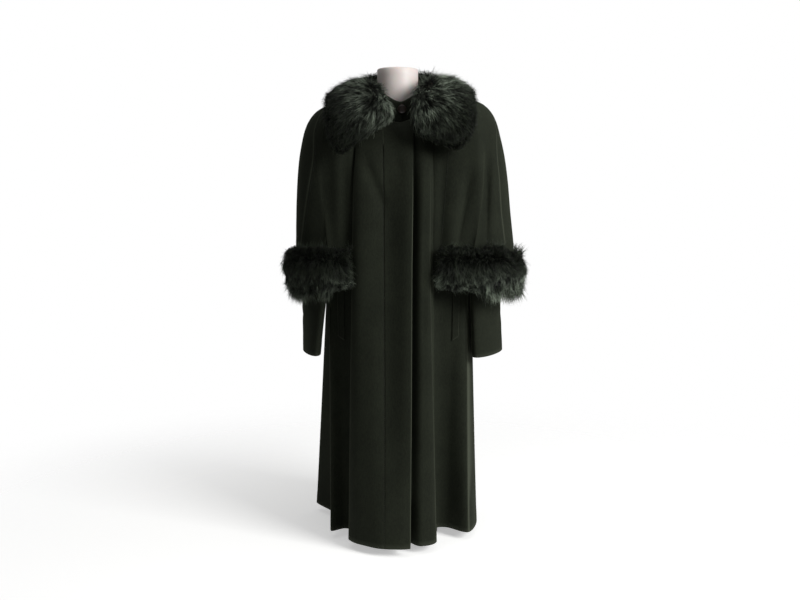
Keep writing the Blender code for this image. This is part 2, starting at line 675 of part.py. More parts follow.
def fur_offsets(rows):
    """How far and which way the fur stands out from the cape's hem at each row number."""
    hem = cape_points(rows, np.full(rows.shape, CAPE_SECTIONS[-1].z))[:, :2]
    soft = hem.copy()
    for _ in range(FUR_SMOOTHING):
        soft[1:-1] = 0.25 * soft[:-2] + 0.5 * soft[1:-1] + 0.25 * soft[2:]
    along = np.gradient(soft, axis=0)
    out = np.column_stack([along[:, 1], -along[:, 0]])
    out /= np.linalg.norm(out, axis=1, keepdims=True)
    if (out * soft).sum() < 0:
        out = -out
    return np.column_stack([soft + out * FUR_DEPTH - hem, np.zeros(len(rows))])


def make_fur_bands():
    """Three lengths of fur along the cape's hem, rounded outside and flat against the cloth."""
    turns = np.linspace(0.0, 2 * np.pi, FUR_POINTS, endpoint=False)
    hem_z = CAPE_SECTIONS[-1].z
    share = (0.5 + 0.5 * np.cos(turns))[None, :, None]
    whole = cape_rows("right_edge", "left_edge")
    whole[0] += FUR_END_ROWS
    whole[1] = 0.5 * (whole[0] + whole[2])
    whole[-1] -= FUR_END_ROWS
    whole[-2] = 0.5 * (whole[-1] + whole[-3])
    rows, turn = np.meshgrid(whole, turns, indexing="ij")
    rise = FUR_RISE + FUR_LIFT_SHARE * between_rows(CAPE_FOLDS, "drop", rows)
    z = hem_z + 0.5 * (rise - FUR_FALL) + 0.5 * (rise + FUR_FALL) * np.sin(turn)
    offsets = fur_offsets(whole)[:, None]
    unit = offsets / np.linalg.norm(offsets, axis=-1, keepdims=True)
    inside = cape_points(rows, z) + unit * FUR_GAP
    rings = inside + offsets * share
    for end in (0, -1):
        middle = rings[end].mean(axis=0)
        rings[end] = middle + (rings[end] - middle) * FUR_END_SHARE
    for part in CAPE_PARTS:
        first = row_number(CAPE_FOLDS, part.start) * CAPE_STEPS
        last = row_number(CAPE_FOLDS, part.end) * CAPE_STEPS
        piece = rings[first:last + 1]
        for edge in ("row_first", "row_last"):
            piece = drawn_in(piece, edge, SEAM_GAP / 2)
        loft_solid(part.fur, piece, FUR_GREEN, roughness=1.0)


def collar_ring(values, tangent):
    """Outline of the collar across its fur at one place."""
    place = np.array([values["x"], values["y"], values["z"]])
    heading, droop = np.radians(values["heading"]), np.radians(values["droop"])
    flat = np.array([np.sin(heading), -np.cos(heading), 0.0])
    across = flat * np.cos(droop) - np.array([0.0, 0.0, np.sin(droop)])
    above = np.cross(tangent, across)
    above /= np.linalg.norm(above)
    turns = np.linspace(0.0, 2 * np.pi, COLLAR_POINTS, endpoint=False)
    thick = np.where(np.sin(turns) > 0, values["over"], values["under"])
    return (place + values["half_across"] * np.cos(turns)[:, None] * across
            + (thick * np.sin(turns))[:, None] * above)


def make_collar():
    """Two halves of the fur collar, which meet at the centre back."""
    names = [name for name in CollarSection._fields if name != "name"]
    for side_name, lobe, side in (("right", COLLAR_LOBE_RIGHT, 1.0), ("left", COLLAR_LOBE_LEFT, -1.0)):
        table = lobe + COLLAR_ROUND
        numbers = np.linspace(0.0, len(table) - 1, (len(table) - 1) * COLLAR_STEPS + 1)
        values = curve_through([[getattr(row, name) for name in names] for row in table], numbers)
        tangents = np.gradient(values[:, :3], axis=0)
        tangents[-1] = (1.0, 0.0, 0.0)
        tangents[0] = tangents[1]
        tangents /= np.linalg.norm(tangents, axis=1, keepdims=True)
        places = [dict(zip(names, row)) for row in values]
        rings = np.array([collar_ring(place, tangent) for place, tangent in zip(places, tangents)])
        rings[-1, :, 0] = -SEAM_GAP / 2
        rings *= np.array([side, 1.0, 1.0])
        rings[..., 2] += CAPE_TILT * rings[..., 0]
        loft_solid(f"fur_collar_{side_name}", rings, FUR_GREEN, roughness=1.0)


def neck_band_points(around, rise):
    """Points of the collar's stand at angles around, "rise" from 0 at its seam to 1 at its top."""
    angle = np.radians(around)
    seam = neckline_points(around)
    depth = np.where(np.cos(angle) > 0, BAND_FRONT, BAND_BACK) - BAND_LEAN * rise
    width = BAND_HALF_WIDTH - BAND_LEAN * rise
    height = BAND_HEIGHT_BACK + (BAND_HEIGHT_FRONT - BAND_HEIGHT_BACK) * (0.5 + 0.5 * np.cos(angle))
    z = seam[..., 2] + BAND_RISE + height * rise
    return np.stack([width * np.sin(angle), -depth * np.cos(angle), z], axis=-1)


def make_neck_band():
    around = np.linspace(*BAND_ENDS, BAND_COLUMNS + 1)
    outer = np.array([neck_band_points(around, rise) for rise in (0.0, 0.5, 1.0)])
    normal = outward(normals_of(outer), outer, (0.0, 0.0))
    cloth_wall("neck_band", outer, outer - normal * BAND_WALL)


def make_button():
    """A round button on the front of the stand."""
    around = np.degrees(np.arcsin(BUTTON_X / BAND_HALF_WIDTH))
    front = neck_band_points(np.array([around]), 1.0 - BUTTON_DROP / BAND_HEIGHT_FRONT)[0]
    turns = np.linspace(0.0, 2 * np.pi, BUTTON_SIDES, endpoint=False)
    rings = []
    for edge in BUTTON_PROFILE:
        x = front[0] + BUTTON_RADIUS * edge.reach * np.cos(turns)
        y = np.full(BUTTON_SIDES, front[1] - BUTTON_SHANK - BUTTON_DEPTH * edge.lift)
        z = front[2] + BUTTON_RADIUS * edge.reach * np.sin(turns)
        rings.append(np.column_stack([x, y, z]))
    loft_solid("neck_button", rings, BUTTON_BROWN, roughness=0.35)


def make_welt(side_name, welt):
    """A pocket welt laid on the panel's own points, moved out."""
    middle = row_number(HEM_FOLDS, welt.row) + welt.shift
    rows = np.linspace(middle - welt.half_rows, middle + welt.half_rows, WELT_COLUMNS)
    heights = np.linspace(WELT_BOTTOM_Z + WELT_LENGTH, WELT_BOTTOM_Z, WELT_ROWS)
    row_grid, z_grid = np.meshgrid(rows, heights)
    slant = np.linspace(0.0, WELT_SLANT, WELT_COLUMNS)
    base = faceted_body(row_grid, z_grid + (slant if side_name == "right" else slant[::-1]))
    normal = outward(normals_of(base), base, (0.0, 0.0))
    outer = base + normal * (WELT_LIFT + WELT_DEPTH)
    cloth_wall(f"pocket_welt_{side_name}", outer, base + normal * WELT_LIFT)


def faceted_body(rows, z):
    """Points on the flat facets of the finished panels, between their own points."""
    heights = lower_heights()[::-1]
    number = np.interp(z, heights, np.arange(len(heights)))
    low = np.clip(np.floor(number).astype(int), 0, len(heights) - 2)
    share = (number - low)[..., None]
    left = np.floor(rows * BODY_STEPS) / BODY_STEPS
    along = ((rows - left) * BODY_STEPS)[..., None]
    right = np.minimum(left + 1.0 / BODY_STEPS, len(HEM_FOLDS) - 1)
    corners = [[body_points(col, heights[low + up]) for col in (left, right)] for up in (0, 1)]
    lower = corners[0][0] + (corners[0][1] - corners[0][0]) * along
    upper = corners[1][0] + (corners[1][1] - corners[1][0]) * along
    return lower + (upper - lower) * share


def make_form():
    """Dress form with a flat-topped neck, its pole and its round base."""
    turns = np.linspace(0.0, 2 * np.pi, FORM_COLUMNS, endpoint=False)
    rings = [[(ring.half_x * np.cos(turn), ring.half_y * np.sin(turn), ring.z) for turn in turns]
             for ring in FORM_RINGS]
    loft_solid("form_torso", rings, FORM_WHITE, roughness=0.6)
    pole_top = FORM_RINGS[-1].z - SEAM_GAP
    pole_foot = BASE_HEIGHT + SEAM_GAP
    add_round("form_pole", POLE_RADIUS, pole_foot, pole_top, STAND_GREY)
    base = add_round("form_base", BASE_RADIUS, 0.0, BASE_HEIGHT, STAND_GREY, sides=48)
    bevel = base.modifiers.new("rounded_rim", "BEVEL")
    bevel.width = BASE_BEVEL
    bevel.segments = 2
    bevel.limit_method = "ANGLE"
    bevel.angle_limit = SMOOTH_ANGLE


def add_round(name, radius, foot, top, colour, sides=20):
    """An upright round bar or disc."""
    mesh = bpy.data.meshes.new(name)
    shape = bmesh.new()
    bmesh.ops.create_cone(shape, cap_ends=True, segments=sides, radius1=radius, radius2=radius,
                          depth=top - foot)
    bmesh.ops.translate(shape, vec=(0.0, 0.0, 0.5 * (foot + top)), verts=shape.verts)
    shape.to_mesh(mesh)
    shape.free()
    mesh.shade_smooth()
    mesh.set_sharp_from_angle(angle=SMOOTH_ANGLE)
    solid = bpy.data.objects.new(name, mesh)
    bpy.context.scene.collection.objects.link(solid)
    give_material(solid, colour, 0.3, 1.0)
    return solid


def main():
    for old in list(bpy.data.objects):
        bpy.data.objects.remove(old)
    make_form()
    make_body()
    make_sleeve("right", -1, SLEEVE_RIGHT)
    make_sleeve("left", 1, SLEEVE_LEFT)
    make_cape()
    make_fur_bands()
    make_collar()
    make_neck_band()
    make_button()
    for side_name, welt in WELTS.items():
        make_welt(side_name, welt)


main()
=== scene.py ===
import math
from collections import namedtuple

import bmesh
import bpy
import numpy as np
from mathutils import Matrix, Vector
from mathutils.bvhtree import BVHTree


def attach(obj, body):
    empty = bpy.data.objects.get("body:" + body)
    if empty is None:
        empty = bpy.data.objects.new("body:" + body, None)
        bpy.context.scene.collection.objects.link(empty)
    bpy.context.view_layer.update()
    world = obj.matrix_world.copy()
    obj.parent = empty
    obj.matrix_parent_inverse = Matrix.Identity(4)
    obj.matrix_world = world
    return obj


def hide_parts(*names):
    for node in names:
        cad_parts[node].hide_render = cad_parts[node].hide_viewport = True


# Long loden coat with a cape, fur bands and a fur collar, dressed on its stand.
# Metres, +Z up, the front faces -Y. Right and left are the wearer's: the right side is at -X.

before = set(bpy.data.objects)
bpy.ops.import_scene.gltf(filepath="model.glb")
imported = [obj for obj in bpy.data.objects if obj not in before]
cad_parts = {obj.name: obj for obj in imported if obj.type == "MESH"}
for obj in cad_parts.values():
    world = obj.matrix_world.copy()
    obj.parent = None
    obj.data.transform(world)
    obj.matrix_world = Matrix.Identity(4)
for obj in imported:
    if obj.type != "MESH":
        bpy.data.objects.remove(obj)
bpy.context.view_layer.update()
print("frame:", len(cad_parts), "nodes")


# Small tools

def toLinear(hexColour):
    values = [int(hexColour[at:at + 2], 16) / 255 for at in (0, 2, 4)]
    linear = [value / 12.92 if value <= 0.04045 else ((value + 0.055) / 1.055) ** 2.4 for value in values]
    return (*linear, 1.0)


def addNode(tree, kind, inputs=None, **settings):
    node = tree.nodes.new(kind)
    for name, value in settings.items():
        setattr(node, name, value)
    for name, value in (inputs or {}).items():
        socket = node.inputs[name]
        if isinstance(value, bpy.types.NodeSocket):
            tree.links.new(value, socket)
        else:
            socket.default_value = value
    return node


def newMaterial(name, **sockets):
    material = bpy.data.materials.new(name)
    material.use_nodes = True
    tree = material.node_tree
    shader = tree.nodes["Principled BSDF"]
    for label, value in sockets.items():
        shader.inputs[label.replace("_", " ")].default_value = value
    return material, tree, shader


def perMm(size):
    return 1000.0 / size  # texture scale for features of that many millimetres


def smoothStep(value):
    value = np.clip(value, 0.0, 1.0)
    return value * value * (3.0 - 2.0 * value)


def fade(value, start, stop):
    return smoothStep((value - start) / (stop - start))  # 0 at start, 1 at stop, soft between


def curveThrough(values, at):
    # soft curve through evenly numbered rows, read at row numbers
    values = np.asarray(values, float)
    at = np.asarray(at, float)
    slopes = np.gradient(values, axis=0)
    low = np.clip(np.floor(at).astype(int), 0, len(values) - 2)
    share = (at - low).reshape(at.shape + (1,) * (values.ndim - 1))
    square, cube = share**2, share**3
    start = (2 * cube - 3 * square + 1) * values[low] + (cube - 2 * square + share) * slopes[low]
    return start + (3 * square - 2 * cube) * values[low + 1] + (cube - square) * slopes[low + 1]


def column(rows, name):
    return np.array([getattr(row, name) for row in rows], float)


def rowNumber(rows, name):
    return [row.name for row in rows].index(name)


def betweenRows(table, name, rows):
    return np.interp(rows, np.arange(len(table)), column(table, name))


def atHeight(table, name, z):
    ordered = sorted(table, key=lambda row: row.z)
    return np.interp(z, column(ordered, "z"), column(ordered, name))


def unit(vectors):
    return vectors / np.maximum(np.linalg.norm(vectors, axis=-1, keepdims=True), 1e-12)


# Materials

def finishSurface(tree, shader, colour, rough, relief=None):
    # each is a pattern with two values: dark and light, least and most rough, strength and depth
    pattern, dark, light = colour
    mixed = addNode(tree, "ShaderNodeMix", {0: pattern, 6: toLinear(dark), 7: toLinear(light)},
                    data_type="RGBA")
    pattern, least, most = rough
    spread = addNode(tree, "ShaderNodeMapRange", {"Value": pattern, "To Min": least, "To Max": most})
    made = {"Base Color": mixed.outputs[2], "Roughness": spread.outputs[0]}
    if relief:
        pattern, strength, depth = relief
        bump = addNode(tree, "ShaderNodeBump", {"Height": pattern, "Strength": strength, "Distance": depth})
        made["Normal"] = bump.outputs[0]
    for label, output in made.items():
        tree.links.new(output, shader.inputs[label])
    return mixed.outputs[2]


def makeLoden():
    # Loden: wool felted and brushed down. Dark matt green, with a soft sheen where the nap is seen
    # edge on, and short streaks of nap. The nap is drawn 2.5 mm wide, coarser than real, to show.
    material, tree, shader = newMaterial("loden_felted_wool", Sheen_Weight=0.12, Sheen_Roughness=0.42,
                                         Sheen_Tint=toLinear("b6c2a0"), IOR=1.45, Specular_IOR_Level=0.18)
    place = addNode(tree, "ShaderNodeTexCoord").outputs["Object"]
    down = addNode(tree, "ShaderNodeMapping", {"Vector": place, "Scale": (1.0, 1.0, 0.3)}).outputs[0]
    patterns = []
    for at, size, detail in ((down, 2.5, 3.0), (down, 0.7, 2.0), (place, 60.0, 2.0)):
        noise = addNode(tree, "ShaderNodeTexNoise", {"Vector": at, "Scale": perMm(size), "Detail": detail})
        patterns.append(noise.outputs["Fac"])
    nap, fibre, cloud = patterns
    mixed = addNode(tree, "ShaderNodeMath", {0: nap, 1: fibre}, operation="ADD").outputs[0]
    spread = addNode(tree, "ShaderNodeMath", {0: cloud, 1: 0.5, 2: mixed}, operation="MULTIPLY_ADD")
    tone = addNode(tree, "ShaderNodeMapRange", {"Value": spread.outputs[0], "From Min": 0.90,
                                                "From Max": 1.60})
    green = finishSurface(tree, shader, (tone.outputs[0], "161912", "262a20"), (nap, 0.78, 0.98),
                          (mixed, 0.35, 0.0008))
    # worn paler along the edges of folds, and partly painted highlight: paler edges of folds, seams, hems and
    # cuffs stand in for edges catching the light, and a wide pale band on the left front ridge is a painted
    # highlight of its lit side
    rub = addNode(tree, "ShaderNodeAttribute", attribute_name="rub").outputs["Fac"]
    wornAndLit = addNode(tree, "ShaderNodeMix", {0: rub, 6: green, 7: toLinear("41453a")}, data_type="RGBA",
                   clamp_factor=False)
    tree.links.new(wornAndLit.outputs[2], shader.inputs["Base Color"])
    return material


def makeFurHair():
    # Fox guard hair, dyed dark green: near black at the root, paler and glossy towards the tip, with silver
    # locks. "along" runs from root to tip, "tone" differs from lock to lock, and "silver" says how silvery the
    # fur is at that place; on the collar it is partly a painted highlight, paler on the lit top by the neck
    # and darker on the outer sides.
    material, tree, shader = newMaterial("fox_fur_guard_hair", IOR=1.55, Specular_IOR_Level=0.22)
    along, tone, silver = (addNode(tree, "ShaderNodeAttribute", attribute_name=label).outputs["Fac"]
                           for label in ("along", "tone", "silver"))
    length = addNode(tree, "ShaderNodeValToRGB", {"Fac": along})
    ramp = length.color_ramp
    ramp.elements[0].color = toLinear("080a07")
    ramp.elements[1].color = toLinear("475040")
    middle = ramp.elements.new(0.45)
    middle.color = toLinear("141811")
    chosen = addNode(tree, "ShaderNodeMapRange", {"Value": tone, "From Min": 0.45, "From Max": 0.85})
    streak = addNode(tree, "ShaderNodeMath", {0: chosen.outputs[0], 1: silver}, operation="MULTIPLY")
    tipped = addNode(tree, "ShaderNodeMath", {0: streak.outputs[0], 1: along}, operation="MULTIPLY")
    pale = addNode(tree, "ShaderNodeMix", {0: tipped.outputs[0], 6: length.outputs[0], 7: toLinear("9ca896")},
                   data_type="RGBA")
    lightness = addNode(tree, "ShaderNodeMapRange", {"Value": tone, "From Min": 0.15, "From Max": 0.85,
                                                     "To Min": 0.25, "To Max": 1.75}).outputs[0]
    shade = addNode(tree, "ShaderNodeHueSaturation", {"Value": lightness, "Color": pale.outputs[2]})
    rough = addNode(tree, "ShaderNodeMapRange", {"Value": tone, "To Min": 0.34, "To Max": 0.52})
    for label, node in (("Base Color", shade), ("Roughness", rough)):
        tree.links.new(node.outputs[0], shader.inputs[label])
    return material


def makeUnderfur():
    # Underfur: dense fine wool below the guard hair, matt and almost black
    material, tree, shader = newMaterial("fox_fur_underwool", Specular_IOR_Level=0.1)
    place = addNode(tree, "ShaderNodeTexCoord").outputs["Object"]
    noise = addNode(tree, "ShaderNodeTexNoise", {"Vector": place, "Scale": perMm(3.0), "Detail": 4.0})
    wool = noise.outputs["Fac"]
    finishSurface(tree, shader, (wool, "080a07", "1a1d17"), (wool, 0.85, 1.0), (wool, 0.8, 0.002))
    return material


def makeFormShell():
    # Dress form: moulded polystyrene shell with a satin skin, pale with a warm pink cast
    material, tree, shader = newMaterial("moulded_polystyrene_shell", IOR=1.5, Specular_IOR_Level=0.4,
                                         Subsurface_Weight=0.15, Subsurface_Scale=0.01)
    place = addNode(tree, "ShaderNodeTexCoord").outputs["Object"]
    noise = addNode(tree, "ShaderNodeTexNoise", {"Vector": place, "Scale": perMm(1.2), "Detail": 2.0})
    pores = noise.outputs["Fac"]
    stain = addNode(tree, "ShaderNodeTexNoise", {"Vector": place, "Scale": perMm(40.0)}).outputs["Fac"]
    finishSurface(tree, shader, (stain, "d8cec8", "e6deda"), (pores, 0.38, 0.55), (pores, 0.12, 0.0003))
    return material


def makeHorn():
    # Button: polished dark horn, brown with streaks
    material, tree, shader = newMaterial("polished_dark_horn", IOR=1.54, Coat_Weight=0.12, Coat_Roughness=0.2)
    place = addNode(tree, "ShaderNodeTexCoord").outputs["Object"]
    tilt = addNode(tree, "ShaderNodeMapping", {"Vector": place, "Scale": (1.0, 1.0, 3.0),
                                               "Rotation": (0.0, 0.6, 0.0)}).outputs[0]
    streak = addNode(tree, "ShaderNodeTexNoise", {"Vector": tilt, "Scale": perMm(6.0), "Detail": 4.0,
                                                  "Distortion": 0.8}).outputs["Fac"]
    finishSurface(tree, shader, (streak, "120d09", "3a2a1f"), (streak, 0.22, 0.4))
    return material


def makeThread():
    # Sewing thread: twisted polyester in the cloth's own green, with a slight shine
    material, tree, shader = newMaterial("twisted_sewing_thread", Specular_IOR_Level=0.4)
    place = addNode(tree, "ShaderNodeTexCoord").outputs["Object"]
    twist = addNode(tree, "ShaderNodeTexNoise", {"Vector": place, "Scale": perMm(0.8)}).outputs["Fac"]
    finishSurface(tree, shader, (twist, "10120e", "22261f"), (twist, 0.45, 0.7))
    return material


def makeStandMetal(name, dark, light, metallic):
    # Stand: drawn steel tube and an enamelled base, with fine lengthwise marks
    material, tree, shader = newMaterial(name, Metallic=metallic)
    place = addNode(tree, "ShaderNodeTexCoord").outputs["Object"]
    drawn = addNode(tree, "ShaderNodeMapping", {"Vector": place, "Scale": (1.0, 1.0, 0.05)}).outputs[0]
    noise = addNode(tree, "ShaderNodeTexNoise", {"Vector": drawn, "Scale": perMm(0.8), "Detail": 3.0})
    marks = noise.outputs["Fac"]
    finishSurface(tree, shader, (marks, dark, light), (marks, 0.25, 0.45))
    return material


loden = makeLoden()
furHair = makeFurHair()
underfur = makeUnderfur()
formShell = makeFormShell()
horn = makeHorn()
thread = makeThread()
tubeSteel = makeStandMetal("drawn_steel_tube", "8f8f91", "b4b4b6", 1.0)
baseEnamel = makeStandMetal("satin_grey_enamel", "a4a4a6", "b2b2b4", 0.0)
print("materials made")


# Cloth: closed shells with rounded edges, built from grids of points

# how far an edge bulges as a share of the wall, and how much of the rub and painted highlight the inner side
# gets against the outer
shell = {"edgeBulge": 0.42, "innerRubAndHighlight": 0.4}


def gridNormals(grid, wrapped=False):
    if wrapped:
        grid = np.concatenate([grid[:, -2:-1], grid, grid[:, 1:2]], axis=1)
    normal = unit(np.cross(np.gradient(grid, axis=1), np.gradient(grid, axis=0)))
    return normal[:, 1:-1] if wrapped else normal


def facingOut(normal, grid, centre=(0.0, 0.0)):
    away = grid[..., :2] - np.asarray(centre)
    return normal if (normal[..., :2] * away).sum() > 0 else -normal


def gridQuads(numbers):
    corners = [numbers[:-1, :-1], numbers[:-1, 1:], numbers[1:, 1:], numbers[1:, :-1]]
    return np.stack(corners, axis=-1).reshape(-1, 4)


def edgeLoops(numbers, outer, wrapped):
    # loops of edge points, with the direction in which the cloth ends there
    top, bottom = unit(outer[0] - outer[1]), unit(outer[-1] - outer[-2])
    if wrapped:
        return [(numbers[0, :-1], top[:-1]), (numbers[-1, :-1], bottom[:-1])]
    left, right = unit(outer[:, 0] - outer[:, 1]), unit(outer[:, -1] - outer[:, -2])
    loop = np.concatenate([numbers[0], numbers[1:, -1], numbers[-1, -2::-1], numbers[-2:0:-1, 0]])
    ends = np.concatenate([top, right[1:], bottom[-2::-1], left[-2:0:-1]])
    return [(loop, ends)]


def turnOut(mesh):
    # drops loose points and turns all faces outwards
    shape = bmesh.new()
    shape.from_mesh(mesh)
    loose = [point for point in shape.verts if not point.link_faces]
    bmesh.ops.delete(shape, geom=loose, context="VERTS")
    bmesh.ops.recalc_face_normals(shape, faces=shape.faces)
    if shape.calc_volume(signed=True) < 0:
        bmesh.ops.reverse_faces(shape, faces=shape.faces)
    shape.to_mesh(mesh)
    shape.free()


def clothPiece(name, node, outer, inner, rub, held, wrapped=False, restsOn=("form_torso",)):
    # two sides of cloth closed by a rounded edge; a wrapped one is a tube
    count = outer.shape[0] * outer.shape[1]
    numbers = np.arange(count).reshape(outer.shape[:2])
    if wrapped:
        numbers[:, -1] = numbers[:, 0]
    points = [outer.reshape(-1, 3), inner.reshape(-1, 3)]
    # rub and painted highlight of the points, less on the inner side
    rubAndHighlightParts = [rub.reshape(-1), shell["innerRubAndHighlight"] * rub.reshape(-1)]
    faces = [gridQuads(numbers), gridQuads(numbers)[:, ::-1] + count]
    total = 2 * count
    for loop, ends in edgeLoops(numbers, outer, wrapped):
        outside, inside = points[0][loop], points[1][loop]
        wall = np.linalg.norm(outside - inside, axis=1, keepdims=True)
        points.append(0.5 * (outside + inside) + ends * wall * shell["edgeBulge"])
        rubAndHighlightParts.append(rubAndHighlightParts[0][loop])
        ring = np.arange(total, total + len(loop))
        total += len(loop)
        after, ringAfter = np.roll(loop, -1), np.roll(ring, -1)
        faces.append(np.stack([loop, after, ringAfter, ring], axis=-1))
        faces.append(np.stack([ring, ringAfter, after + count, loop + count], axis=-1))
    mesh = bpy.data.meshes.new(name)
    mesh.from_pydata(np.concatenate(points), [], np.concatenate(faces).tolist())
    attribute = mesh.attributes.new("rub", "FLOAT", "POINT")
    attribute.data.foreach_set("value", np.concatenate(rubAndHighlightParts).astype(np.float32))
    turnOut(mesh)
    piece = addPiece(name, mesh, loden, node)


def addPiece(name, mesh, material, node, replaced=True):
    mesh.shade_smooth()
    piece = bpy.data.objects.new(name, mesh)
    bpy.context.scene.collection.objects.link(piece)
    if material is not None:
        mesh.materials.append(material)
    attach(piece, "root")
    if replaced:
        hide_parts(node)
    return piece


def runTree(tree, name, mesh, values):
    # what the node tree makes of a mesh, as a plain mesh
    holder = bpy.data.objects.new(name + "_holder", mesh)
    bpy.context.scene.collection.objects.link(holder)
    modifier = holder.modifiers.new(name, "NODES")
    modifier.node_group = tree
    for item in tree.interface.items_tree:
        if item.in_out == "INPUT" and item.name in values:
            modifier[item.identifier] = values[item.name]
    made = bpy.data.meshes.new_from_object(holder.evaluated_get(bpy.context.evaluated_depsgraph_get()))
    holder.modifiers.remove(modifier)
    bpy.data.objects.remove(holder)
    return made


# Soft creases pressed into the cloth: a line seen from one side, its half width and its depth,
# which is negative for a ridge. They fade in and out along the line, and where the cloth turns away.

Crease = namedtuple("Crease", "side startAcross startZ endAcross endZ halfWidth depth")
viewAxes = {"front": (0, 1, -1.0), "back": (0, 1, 1.0), "right": (1, 0, -1.0), "left": (1, 0, 1.0)}
press = {"facing": (0.1, 0.5), "starts": (-0.15, 0.30), "stops": (1.15, 0.70)}


def pressCreases(grid, normal, creases):
    offset = np.zeros(grid.shape[:2])
    for crease in creases:
        across, depthAxis, way = viewAxes[crease.side]
        facing = fade(normal[..., depthAxis] * way, *press["facing"])
        start = np.array([crease.startAcross, crease.startZ])
        run = np.array([crease.endAcross, crease.endZ]) - start
        flat = np.stack([grid[..., across], grid[..., 2]], axis=-1) - start
        along = (flat @ run) / (run @ run)
        beside = np.abs(flat[..., 0] * run[1] - flat[..., 1] * run[0]) / np.linalg.norm(run)
        ends = fade(along, *press["starts"]) * fade(along, *press["stops"])
        offset -= crease.depth * np.exp(-(beside / crease.halfWidth) ** 2) * ends * facing
    return grid + normal * offset[..., None]


# Body of the coat: smooth rings above, folds of the skirt below

